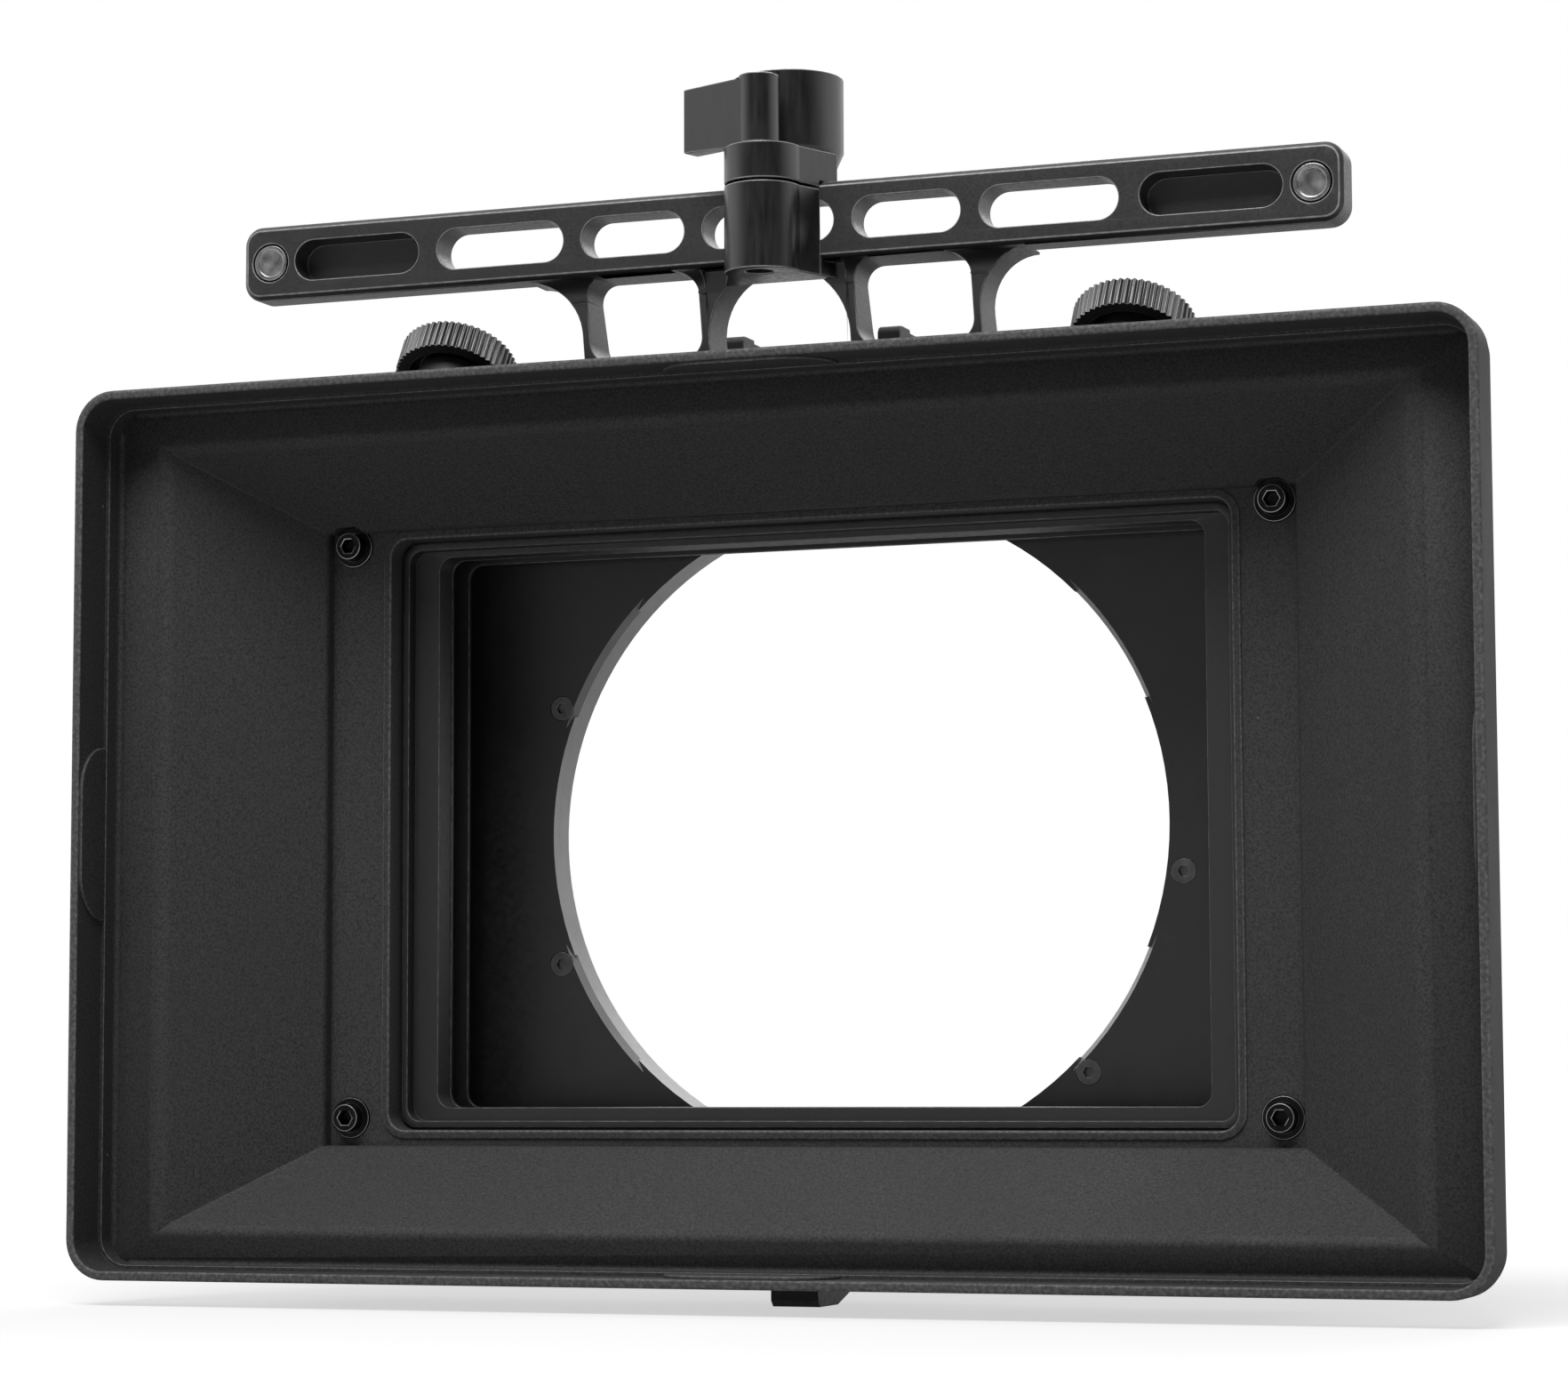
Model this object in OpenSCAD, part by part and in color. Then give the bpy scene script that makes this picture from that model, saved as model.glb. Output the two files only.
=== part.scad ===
// Matte box: sunshade hood, two-tray filter stage, split lens clamp and slotted top bar.
// Millimetres. The origin is on the lens axis, at the rear end of the clamp's straight bore.
// The hood looks along -Y.
// Depths are counted back from the hood's front rim, heights from the lens axis.

/* [Hood] */
// Width over the front rim
hood_w = 244.7; // [238:0.1:250]
// Height of the front rim above the lens axis
hood_top = 75.5; // [73:0.1:79]
// Drop of the front rim below the lens axis
hood_bottom = 77.2; // [75:0.1:81]
// Radius of the rim's outer corners
hood_corner_r = 7; // [4:0.5:9]
// Thickness of the rim
lip_wall = 1.6; // [1.2:0.1:2.2]
// Depth of the band round the rim
lip_depth = 8.5; // [7:0.1:9]
// How far the lip steps in behind that band
lip_step = 0.7; // [0.4:0.1:1]
// Depth of the gutter at the foot of the lip
gutter_depth = 12.5; // [11:0.1:13.5]
// Inside width of the crest between the gutter and the funnel
crease_w = 219.6; // [212:0.1:222]
// Inside height of that crest above the lens axis
crease_top = 66; // [62:0.1:67]
// Inside drop of that crest below the lens axis
crease_bottom = 69; // [66:0.1:71]
// Depth of that crest
crease_depth = 9.5; // [9.2:0.1:10.5]
// Inside width where the funnel meets the flange
throat_w = 173.8; // [172:0.1:176]
// Inside height of the funnel's end above the lens axis
throat_top = 52.3; // [51.5:0.1:54]
// Inside drop of the funnel's end below the lens axis
throat_bottom = 54.8; // [54:0.1:56]
// Depth of the flange's front face
flange_depth = 29.8; // [28.5:0.1:31]
// Thickness of the wall behind the gutter
hood_wall = 2.4; // [1.8:0.1:2.8]
// Depth of the whole hood
hood_depth = 35; // [34:0.1:37]
// Width of the hood's rear opening
hood_open_w = 151.2; // [149:0.1:153]
// Height of the hood's rear opening
hood_open_h = 103; // [101.5:0.1:103.4]
// Height of the rear opening's centre, below the lens axis when negative
hood_open_z = -0.6; // [-0.8:0.1:-0.2]
// Radius of the rear opening's corners
hood_open_r = 3; // [2:0.5:4]
// Distance of the hood screws from the middle plane
hood_screw_x = 83; // [82:0.1:84]
// Height of the hood screws above and below the lens axis
hood_screw_z = 50; // [48:0.1:50.5]
// Diameter of a hood screw's head
hood_screw_head_d = 4.7; // [4:0.1:5]
// Diameter of a hood screw's shank
hood_screw_d = 3; // [2.5:0.1:3.4]
// Diameter of the collar that keeps a hood screw captive
collar_d = 7; // [6.4:0.1:7.2]

/* [Filter stage] */
// Width of the filter stage
stage_w = 180; // [179:0.5:184]
// Height of the stage above the lens axis
stage_top = 64; // [63.5:0.5:66]
// Drop of the stage below the lens axis
stage_bottom = 62; // [61.5:0.5:64]
// Thickness of the front frame
frame_t = 6.2; // [5.5:0.1:7]
// Width of the frame's raised ring face
ring_face = 1.1; // [0.8:0.1:1.4]
// How far the ring stands forward of the frame
ring_proud = 1.3; // [0.8:0.1:2]
// How deep the frame is sunk inside the ring
ring_sunk = 1.3; // [0.8:0.1:2]
// Gap between the ring and the hood's opening
ring_gap = 0.4; // [0.3:0.05:0.6]
// Width of the clear aperture
aperture_w = 138.9; // [136:0.1:140]
// Height of the clear aperture
aperture_h = 96.6; // [94:0.1:98]
// Radius of the aperture's corners
aperture_r = 2.5; // [1.5:0.5:4]
// Corner radius of the stage's plates
stage_corner_r = 5; // [3:0.5:6]
// Diameter of the long bolts through the stage
stage_bolt_d = 3; // [2.5:0.1:3.2]

/* [Filter trays] */
// Width of a tray
tray_w = 155.6; // [154:0.1:156]
// Height of a tray above the lens axis when it is home
tray_top = 62; // [60:0.5:63]
// Drop of a tray below the lens axis when it is home
tray_bottom = 56.5; // [55.5:0.1:57.5]
// Thickness of a tray
tray_t = 6; // [5.8:0.1:6.6]
// Gap between the two trays
tray_gap = 1.2; // [1:0.1:1.6]
// Play between the front frame and the front tray
tray_play = 0.4; // [0.3:0.1:0.6]
// Space behind the rear tray
rear_space = 3.5; // [2.5:0.1:4.5]
// How far a filter laps over the aperture at its sides
filter_lap_x = 2.3; // [1.5:0.1:2.6]
// How far a filter laps over the aperture at its top and bottom
filter_lap_z = 2.5; // [1.5:0.1:2.7]
// Thickness of the filter that a tray holds
filter_t = 4; // [3.5:0.1:4.2]
// Thickness of the tray's front lip
tray_lip = 1; // [0.8:0.1:1.2]

/* [Tray pulls] */
// Thickness of a pull's fin
fin_t = 4.2; // [3.5:0.1:4.4]
// Inner face of the front tray's fins, from the middle plane
fin_x = 12.2; // [11.5:0.1:12.6]
// Top of the fins above the lens axis
fin_top = 84.6; // [80:0.1:88]
// How far a fin reaches forward of its tray
fin_reach = 4.6; // [3:0.1:4.8]
// Radius of a fin's front corner
fin_r = 1.4; // [0.8:0.1:2]

/* [Lens clamp] */
// Diameter of the lens that the clamp takes
lens_d = 114; // [108:0.5:114]
// Thickness of the back plate
plate_t = 2.5; // [2:0.1:3]
// Depth of the clamp ring
ring_t = 6.3; // [5.8:0.1:8]
// Radial thickness of the clamp ring
ring_wall = 7; // [6:0.5:7.5]
// Depth of the flared lead-in at the rear
lead_in = 2; // [1:0.5:2.5]
// Depth of the four reliefs in the back plate's bore
relief_deep = 1.3; // [0.8:0.1:1.8]
// Angle from the horizontal where a relief starts
relief_from = 22; // [19:0.5:23]
// Angle from the horizontal where a relief ends
relief_to = 44.5; // [40:0.5:46]
// Radius on which the small screws of the ring sit
ring_screw_r = 60; // [59.7:0.1:61]
// Diameter of the heads of those screws
ring_screw_head_d = 4.3; // [3.6:0.1:4.8]
// Width of the slit in the clamp ring
slit_w = 3; // [2:0.1:4]
// Diameter of the clamping screw
clamp_screw_d = 4; // [3:0.1:4]
// Diameter of the clamping knob
knob_d = 16; // [12:0.5:18]
// Length of the clamping knob
knob_len = 12; // [8:0.5:16]

/* [Top bar] */
// Length of the bar
bar_w = 196.5; // [192:0.5:204]
// Height of the bar
bar_h = 13.15; // [12.5:0.05:14]
// Thickness of the bar
bar_t = 6.1; // [5.5:0.1:6.6]
// Depth of the bar's front face
bar_depth = 16.2; // [15.8:0.1:17]
// Height of the bar's underside above the lens axis
bar_z = 92.6; // [92:0.1:95]
// Radius of the bar's end corners
bar_r = 3.3; // [2:0.1:4]
// Height of the slots
slot_h = 7; // [6:0.1:7.6]
// Length of the middle slot
slot_mid = 23.4; // [20:0.1:26]
// Start of the inner slots from the middle plane
slot_a_from = 15.1; // [14.6:0.1:16]
// End of the inner slots
slot_a_to = 33.9; // [32:0.1:35]
// Start of the outer slots
slot_b_from = 37.3; // [36.6:0.1:39]
// End of the outer slots
slot_b_to = 60.9; // [58:0.1:62]
// Start of the blind pockets
pocket_from = 64.5; // [63.5:0.1:66]
// End of the blind pockets
pocket_to = 88.2; // [86:0.1:88.6]
// Depth of the blind pockets
pocket_deep = 4.6; // [3:0.1:4.8]
// Distance of the end caps from the middle plane
cap_x = 93; // [92:0.1:93.5]
// Diameter of an end cap
cap_d = 6.2; // [5.6:0.1:6.4]

/* [Bracket] */
// Inner face of the inner legs from the middle plane
leg_in = 12.6; // [11.8:0.1:13]
// Outer face of the outer legs from the middle plane
leg_out = 35.8; // [34.5:0.1:37]
// Width of a leg
leg_w = 1.4; // [1.2:0.1:2]
// Height of the windows' sills above the lens axis
sill_z = 78.6; // [76:0.1:80]
// Radius of the side windows' corners
window_r = 3.5; // [2:0.5:4.5]
// Radius of the middle window's upper corners
arch_r = 11.5; // [8:0.5:11.5]
// Radius of the flares beside the outer legs
flare_r = 9; // [6:0.5:10]
// Lean of the bracket's front face
front_lean = 11; // [8:0.5:12]
// Lean of the bracket's rear face
rear_lean = 20; // [18:0.5:21]
// Depth of the bracket's front face under the bar
web_depth = 20.2; // [20.1:0.1:20.6]
// Thickness of the bracket under the bar
web_t = 6.4; // [5:0.1:6.8]
// Diameter of the bracket's screws
bracket_screw_d = 3; // [2.5:0.1:3]

/* [Lever clamp] */
// Distance of the clamp's screw from the middle plane
nose_x = 1; // [-2:0.1:2]
// Depth of the clamp's screw
nose_screw_depth = 9.7; // [9.4:0.1:10.2]
// Radius of the clamp's rounded nose
nose_r = 6.5; // [6.1:0.1:6.6]
// Half width of the clamp at its rear edge
nose_rear_w = 10.2; // [8:0.1:10.3]
// Thickness of the hook under the bar
hook_t = 2.8; // [2:0.1:3.2]
// Gap between the two jaws at the nose
jaw_gap = 0.4; // [0.3:0.05:0.6]
// Height of the upper jaw above the bar
jaw_t = 5.3; // [4.5:0.1:6]
// Diameter of the clamp's screw
jaw_screw_d = 4.4; // [4:0.1:4.6]
// Diameter of the lever's hub
hub_d = 6.8; // [6.4:0.1:7]
// Height of the lever
lever_h = 11; // [9:0.1:12]
// Length of the lever from its axis
lever_len = 14.4; // [13:0.1:18]
// Thickness of the lever's wing
wing_t = 3.6; // [3:0.1:4]
// Angle of the lever's wing from +X
wing_angle = 158; // [154:1:162]
// Radius of the socket behind the bar
socket_r = 9.2; // [8.8:0.05:9.3]
// Depth of the socket's axis
socket_depth = 24.5; // [24.3:0.1:24.8]
// Diameter of the socket's hole
socket_hole_d = 8; // [6:0.5:9]

/* [Flag wheels] */
// Distance of the wheels from the middle plane
wheel_x = 61; // [58:0.1:63]
// Depth of the right wheel's lower face
wheel_depth = 22.6; // [21.6:0.1:23.6]
// Height of the right wheel's lower face above the lens axis
wheel_z = 75.9; // [75.2:0.1:77]
// Lean of the wheels' axes
wheel_lean = 32; // [30:0.5:35]
// Diameter of a wheel over its knurl
wheel_d = 20.5; // [17:0.1:21.5]
// Thickness of a wheel
wheel_t = 5.4; // [5:0.1:6]
// Number of knurl teeth on a wheel
wheel_teeth = 54; // [36:1:60]
// How far the left wheel is screwed out in the photographed state
left_out = 1.3; // [0:0.1:2]
// Diameter of the stud that a wheel turns on
stud_d = 5; // [4:0.1:6]
// Diameter of the post under a wheel
post_d = 13; // [11:0.1:13.4]

/* [Foot] */
// Width of the foot under the stage
foot_w = 8.4; // [8:0.1:12]
// Drop of the foot's lowest edge below the lens axis
foot_z = 81.3; // [79:0.1:84]
// Depth of the foot's front face
foot_depth = 27.5; // [26:0.1:30]
// Length of the foot
foot_len = 22; // [20:0.5:26]
// Diameter of the tapped hole in the foot
foot_hole_d = 4; // [3:0.1:4.5]
// Depth of the tapped hole in the foot
foot_hole_deep = 10; // [6:0.5:12]

/* [Hidden] */
$fn = 64;

// Small amount by which a cutting shape passes the face that it cuts
over = 0.5;
// Radial running clearance of a turning shaft
run = 0.05;
// Radial clearance of a screw in its plain hole
free = 0.2;
// Radial clearance of a screw in its tapped hole
tap = 0.02;

ink = "#1b1b1d";
metal_black = "#242427";
steel = "#9a9a9d";
silver = "#c9c9cb";

// Depths of the stage's layers
frame_back = hood_depth + frame_t;
tray_a = frame_back + tray_play;
tray_b = tray_a + tray_t + tray_gap;
plate_front = tray_b + tray_t + rear_space;
plate_back = plate_front + plate_t;
overall_depth = plate_back + ring_t;
origin_depth = overall_depth - lead_in;
rails_mid = (frame_back + plate_front) / 2;

// Hood
band_step = 0.8;
lip_in = lip_wall + lip_step;
gutter_turn = 1;
crest_back = 2;
shoulder = 2.9;
shoulder_rise = 1.4;
throat_rise = 2.3;

// Stage
stage_h = stage_top + stage_bottom;
stage_mid = (stage_top - stage_bottom) / 2;
side_play = 0.2;
rail_in = tray_w / 2 + side_play;
rail_w = stage_w / 2 - rail_in;
rail_bottom = tray_bottom + side_play;
bolt_x = stage_w / 2 - 4;
bolt_z = stage_bottom - 6;
bolt_bite = 4.3;
bolt_head_t = 2;
bolt_head_r = stage_bolt_d * 0.9;
hole_room = 0.2;
rib_t = tray_gap - 0.4;
rib_w = 2.8;
rib_gap = 0.3;

// Frame ring, which stands in the hood's rear opening
ring_w = hood_open_w - 2 * ring_gap;
ring_h = hood_open_h - 2 * ring_gap;
ring_r = hood_open_r - ring_gap + 0.2;
ring_inner_r = ring_r - 0.3;

// Hood screws
collar_t = 0.8;
collar_proud = 0.3;
collar_free = 0.15;
corner_cut = 3.5;
head_proud = 2.6;
head_free = 0.1;
hex_deep = 2.2;
hex_r = hood_screw_head_d * 0.29;
hood_screw_reach = 4.5;

// Lens clamp ring
lens_r = lens_d / 2;
lead_slope = 0.6;
relief_apex = 0.95;
clamp_out = lens_r + ring_wall;
ear_root = lens_r + 2;
ear_x = 8;
ear_z = clamp_out + 7.5;
ear_axis = clamp_out + 3.5;
clamp_mid = (plate_back + overall_depth) / 2;
screw_angles = [157.5, 202.5, -45.2, -8.2, 110, 250];
ring_screw_d = 2;
ring_screw_reach = 4.5;
ring_head_t = 1.2;
ring_hex_deep = 0.8;
ring_hex_r = ring_screw_head_d * 0.24;
stop_w = 1.2;
stop_len = 2;
knob_x = stage_w / 2 + 1.5;
knob_bite = 6;
flutes = 24;
flute_r = 0.5;

// Bar
slot_z = bar_z + bar_h / 2;
bar_top = bar_z + bar_h;
cap_t = 1.2;
cap_sunk = 0.1;
cap_groove = 0.3;
cap_rim = 0.7;
cap_dish = 0.3;

// Lever clamp
hook_z = bar_z - hook_t;
nose_depth = nose_screw_depth + 1.9;
nose_top = bar_top - 1.3;
web_gap = 0.4;
bar_free = 0.1;
jaw_top_z = bar_top + jaw_t;
socket_top = jaw_top_z + 2.7 * jaw_t;
socket_cone_z = bar_top + 1.3 * jaw_t;
socket_foot_r = socket_r - 3.15;
socket_floor = bar_top + 3;
lever_seat = jaw_top_z + 0.1;
lever_z = jaw_top_z + 0.3;
hub_top = lever_z + lever_h + 0.6;
hub_roof = 2.4;
screw_foot = 3;
wing_inset = 0.2;

// Flag wheels: distances along the leaning axis from the right wheel's lower face
washer_t = 0.8;
washer_at = 1.8;
recess_deep = washer_at + washer_t + run;
rim_t = 2.2;
stud_over = 2.2;
boss_top = -4;
boss_bottom = -17;
boss_r = 8;
stud_sink = 8;
stud_room = 0.3;
tooth = wheel_d / wheel_teeth * 1.7;

// Bracket
bracket_foot_z = stage_top;
bracket_foot_t = 3.4;
pad_from = 24;
pad_to = 40;
pad_screw_x = 30;
pad_lap = 4;
arch_sill = 8;
bracket_bite = 8;
bracket_head_t = 2.2;
bracket_head_r = bracket_screw_d * 0.85;
bracket_screw_depth = (hood_depth + frame_back) / 2 + 0.3;
web_slope = tan(front_lean);
rear_slope = tan(rear_lean);
web_foot_rear = hood_depth - 0.4;
web_top_z = bar_z - 3.6;
web_sink = 0.4;
web_step = 0.3;
web_rise = 2.6;

// Tray pulls
pull_foot = 3;
pull_inset = 0.4;
pull_step = 0.6;
pull_offset = 1.2;
fin_bottom = stage_top + 6;

// Trays, filter clips and plungers
tray_r = 2;
notch_r = 0.6;
filter_w = aperture_w + 2 * filter_lap_x;
filter_h = aperture_h + 2 * filter_lap_z;
filter_play_x = 0.3;
filter_play_z = 0.2;
clip_w = 24;
clip_t = 0.5;
clip_lug = 2;
clip_gap = 0.1;
clip_off = 0.4;
plunger_d = 3;
plunger_z = 40;
plunger_len = 7.9;
plunger_tip = 0.1;

// Foot
foot_hole_at = 6;
foot_screw_x = 9;
foot_screw_bite = 3.5;
foot_head_t = 1.8;
foot_head_r = stage_bolt_d * 0.85;
foot_plate_t = 3;
foot_plate_w = 28;
foot_plate_len = 14;
foot_brow = 6;
foot_setback = 0.5;
foot_edge = 1;
foot_rise = 3.6;

// Y of a depth counted back from the front rim
function y_at(d) = d - origin_depth;

// Rectangle with round corners, centred
module rounded(w, h, r) {
  square([w - 2 * r, h], center = true);
  square([w, h - 2 * r], center = true);
  for (sx = [-1, 1], sz = [-1, 1])
    translate([sx * (w / 2 - r), sz * (h / 2 - r)]) circle(r);
}

// Slot with round ends from x1 to x2
module slot_shape(x1, x2, h) {
  translate([(x1 + x2) / 2, 0]) square([x2 - x1 - h, h], center = true);
  for (x = [x1 + h / 2, x2 - h / 2]) translate([x, 0]) circle(h / 2);
}

// A flat outline in X and Z, made solid from depth d over thickness t
module plate(d, t) {
  translate([0, y_at(d) + t, 0]) rotate([90, 0, 0]) linear_extrude(t) children();
}

// A flat outline in depth and Z, made solid between x1 and x2
module side(x1, x2) {
  translate([x1, -origin_depth, 0]) rotate([90, 0, 90]) linear_extrude(x2 - x1) children();
}

// A flat outline in X and depth, made solid between z1 and z2
module level(z1, z2) {
  translate([0, -origin_depth, z1]) linear_extrude(z2 - z1) children();
}

// Round bar along Y from depth d
module rod_y(d, len, r) {
  translate([0, y_at(d) + len, 0]) rotate([90, 0, 0]) cylinder(h = len, r = r);
}

// Round bar along X
module rod_x(x1, x2, d, z, r) {
  translate([x1, y_at(d), z]) rotate([0, 90, 0]) cylinder(h = x2 - x1, r = r);
}

// Places the four hood screws
module at_hood_screws() {
  for (sx = [-1, 1], sz = [-1, 1])
    translate([sx * hood_screw_x, 0, sz * hood_screw_z]) children();
}

// Places the stage's four bolts
module at_stage_bolts() {
  for (sx = [-1, 1], sz = [-1, 1]) translate([sx * bolt_x, 0, sz * bolt_z]) children();
}

// Places the small screws of the clamp ring
module at_ring_screws() {
  for (a = screw_angles)
    translate([ring_screw_r * cos(a), 0, ring_screw_r * sin(a)]) children();
}

// Stands a shape on the leaning axis of a flag wheel, s along it
module on_wheel_axis(x, s) {
  translate([x, y_at(wheel_depth), wheel_z]) rotate([-wheel_lean, 0, 0])
    translate([0, 0, s]) children();
}

// Solid bounded by a plan outline and a side outline
module sloped_block(half_w, top, bottom) {
  span = hood_w + hood_top + hood_bottom;
  intersection() {
    level(-span, span) polygon(concat(half_w, [for (i = [len(half_w) - 1:-1:0])
      [-half_w[i][0], half_w[i][1]]]));
    side(-span, span) polygon(concat([for (p = top) [p[1], p[0]]],
      [for (i = [len(bottom) - 1:-1:0]) [bottom[i][1], -bottom[i][0]]]));
  }
}

// Block with the rim's round corners, drawn in from the rim by inset
module rim_block(d, t, inset) {
  plate(d, t) translate([0, (hood_top - hood_bottom) / 2])
    rounded(hood_w - 2 * inset, hood_top + hood_bottom - 2 * inset, hood_corner_r - inset);
}

// Outer profile of one hood wall, from the rim's half width, the crest and the throat
function outer_wall(rim, crest, throat) = [
  [rim, 0], [rim, gutter_depth + hood_wall - gutter_turn],
  [rim - band_step - gutter_turn, gutter_depth + hood_wall],
  [crest - crest_back, gutter_depth + hood_wall],
  [throat + shoulder, flange_depth - shoulder_rise], [throat + shoulder, hood_depth]
];

// Front face of the hood inside the lip: flat on the crest, sloping back into the gutter
function gutter_line(rim, crest) = [
  [crest, crease_depth], [rim - lip_in, gutter_depth], [rim - lip_in, gutter_depth + 2 * over]
];

// Inner profile of one wall of the funnel
function funnel_wall(crest, throat) = [
  [crest, crease_depth - over], [crest, crease_depth], [throat, flange_depth - throat_rise],
  [throat, flange_depth]
];

module hood_cavity() {
  rim_block(-over, lip_depth + over, lip_wall);
  difference() {
    rim_block(-over, gutter_depth + over, lip_in);
    sloped_block(gutter_line(hood_w / 2, crease_w / 2),
      gutter_line(hood_top, crease_top), gutter_line(hood_bottom, crease_bottom));
  }
  sloped_block(funnel_wall(crease_w / 2, throat_w / 2), funnel_wall(crease_top, throat_top),
    funnel_wall(crease_bottom, throat_bottom));
}

module sunshade_hood() {
  color(ink) difference() {
    union() {
      rim_block(0, lip_depth, 0);
      intersection() {
        sloped_block(outer_wall(hood_w / 2, crease_w / 2, throat_w / 2),
          outer_wall(hood_top, crease_top, throat_top),
          outer_wall(hood_bottom, crease_bottom, throat_bottom));
        rim_block(0, hood_depth, band_step);
      }
      for (sx = [-1, 1])
        on_wheel_axis(sx * wheel_x, boss_bottom) cylinder(h = boss_top - boss_bottom, r = boss_r);
    }
    hood_cavity();
    plate(flange_depth - over, hood_depth)
      translate([0, hood_open_z]) rounded(hood_open_w, hood_open_h, hood_open_r);
    at_hood_screws() {
      rod_y(flange_depth - corner_cut, corner_cut + collar_t, collar_d / 2 + collar_free);
      rod_y(flange_depth - over, hood_depth, hood_screw_d / 2 + free);
    }
    for (sx = [-1, 1])
      on_wheel_axis(sx * wheel_x, boss_top - stud_sink - stud_room)
        cylinder(h = stud_sink + stud_room + over, r = stud_d / 2 + tap);
  }
}

module hood_screws() {
  color(metal_black) at_hood_screws() difference() {
    union() {
      rod_y(flange_depth - head_proud, head_proud + collar_t / 2, hood_screw_head_d / 2);
      rod_y(flange_depth, hood_depth - flange_depth + hood_screw_reach, hood_screw_d / 2);
    }
    plate(flange_depth - head_proud - over, hex_deep + over) circle(r = hex_r, $fn = 6);
  }
}

module hood_collars() {
  color(metal_black) at_hood_screws() difference() {
    rod_y(flange_depth - collar_proud, collar_proud + collar_t, collar_d / 2);
    rod_y(flange_depth - collar_proud - over, collar_proud + collar_t + 2 * over,
      hood_screw_head_d / 2 + head_free);
  }
}

module front_frame() {
  color(ink) difference() {
    union() {
      plate(hood_depth, frame_t)
        translate([0, stage_mid]) rounded(stage_w, stage_h, stage_corner_r);
      plate(hood_depth - ring_proud, ring_proud + over)
        translate([0, hood_open_z]) rounded(ring_w, ring_h, ring_r);
    }
    plate(hood_depth - ring_proud - over, ring_proud + ring_sunk + over)
      translate([0, hood_open_z])
        rounded(ring_w - 2 * ring_face, ring_h - 2 * ring_face, ring_inner_r);
    plate(hood_depth - over, frame_t + 2 * over) rounded(aperture_w, aperture_h, aperture_r);
    at_hood_screws() rod_y(hood_depth - over, hood_screw_reach + 2 * over, hood_screw_d / 2 + tap);
    at_stage_bolts() rod_y(frame_back - bolt_bite - hole_room, bolt_bite + hole_room + over,
      stage_bolt_d / 2 + tap);
    at_bracket_screws(stage_top - bracket_bite - hole_room, bracket_bite + hole_room + over,
      bracket_screw_d / 2 + tap);
  }
}

// Front face of a rib, which stands on the bottom rail; s is its side
module rib_face(s) {
  translate([s > 0 ? rail_in - rib_w : -rail_in - over, -rail_bottom])
    square([rib_w + over, stage_top + rail_bottom]);
}

// One side rail with the ribs that part the trays; s is its side
module rail(s) {
  color(metal_black) difference() {
    union() {
      plate(frame_back, plate_front - frame_back) intersection() {
        translate([s * (rail_in + rail_w / 2), stage_mid]) square([rail_w, stage_h], center = true);
        translate([0, stage_mid]) rounded(stage_w, stage_h, stage_corner_r);
      }
      plate(tray_b - (tray_gap + rib_t) / 2, rib_t) rib_face(s);
      plate(tray_b + tray_t + rib_gap, rear_space - rib_gap) rib_face(s);
    }
    at_stage_bolts() rod_y(frame_back - over, plate_back - frame_back, stage_bolt_d / 2 + free);
    for (d = [tray_a, tray_b])
      rod_x(s > 0 ? rail_in - over : -rail_in - plunger_len,
        s > 0 ? rail_in + plunger_len : -rail_in + over, d + tray_t / 2, plunger_z,
        plunger_d / 2 + run);
  }
}

module rail_left() {
  rail(-1);
}

module rail_right() {
  rail(1);
}

module bottom_rail() {
  color(metal_black) difference() {
    plate(frame_back, plate_front - frame_back)
      translate([0, -(stage_bottom + rail_bottom) / 2])
        square([2 * rail_in - side_play, stage_bottom - rail_bottom], center = true);
    at_foot_screws(-stage_bottom - over)
      cylinder(h = foot_screw_bite + hole_room + over, r = stage_bolt_d / 2 + tap);
  }
}

// One tray at depth d
module tray(d) {
  h = tray_top + tray_bottom;
  mid = (tray_top - tray_bottom) / 2;
  color(ink) difference() {
    plate(d, tray_t) translate([0, mid]) rounded(tray_w, h, tray_r);
    plate(d - over, tray_t + 2 * over) rounded(aperture_w, aperture_h, aperture_r);
    plate(d + tray_lip, tray_t)
      square([filter_w + 2 * filter_play_x, filter_h + 2 * filter_play_z], center = true);
    for (sx = [-1, 1])
      plate(d - over, tray_t + 2 * over)
        translate([sx * tray_w / 2, plunger_z]) circle(notch_r);
  }
}

module tray_front() {
  tray(tray_a);
}

module tray_rear() {
  tray(tray_b);
}

// A pull with two fins on the top edge of the tray at depth d; x is the fins' inner face.
// The fins lean out over the stage on the side that way names, -1 forward and 1 backward.
module pull(d, x, way) {
  half = tray_t / 2 - pull_inset;
  reach = tray_t / 2 + fin_reach;
  color(metal_black) {
    level(tray_top, tray_top + pull_foot)
      translate([-x - fin_t, d + tray_t / 2 - half]) square([2 * (x + fin_t), 2 * half]);
    for (sx = [-1, 1])
      side(sx > 0 ? x : -x - fin_t, sx > 0 ? x + fin_t : -x)
        translate([d + tray_t / 2, 0]) scale([way, 1]) {
          translate([-half, tray_top + pull_foot - over])
            square([2 * half, fin_top - tray_top - pull_foot - pull_step + over]);
          translate([half - over, fin_bottom])
            square([reach - half + over, fin_top - fin_r - fin_bottom]);
          translate([half - over, fin_top - 2 * fin_r])
            square([reach - half + over - fin_r, 2 * fin_r]);
          translate([reach - fin_r, fin_top - fin_r]) circle(fin_r);
        }
  }
}

module pull_front() {
  pull(tray_a, fin_x, -1);
}

module pull_rear() {
  pull(tray_b, fin_x + fin_t + pull_offset, 1);
}

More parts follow.
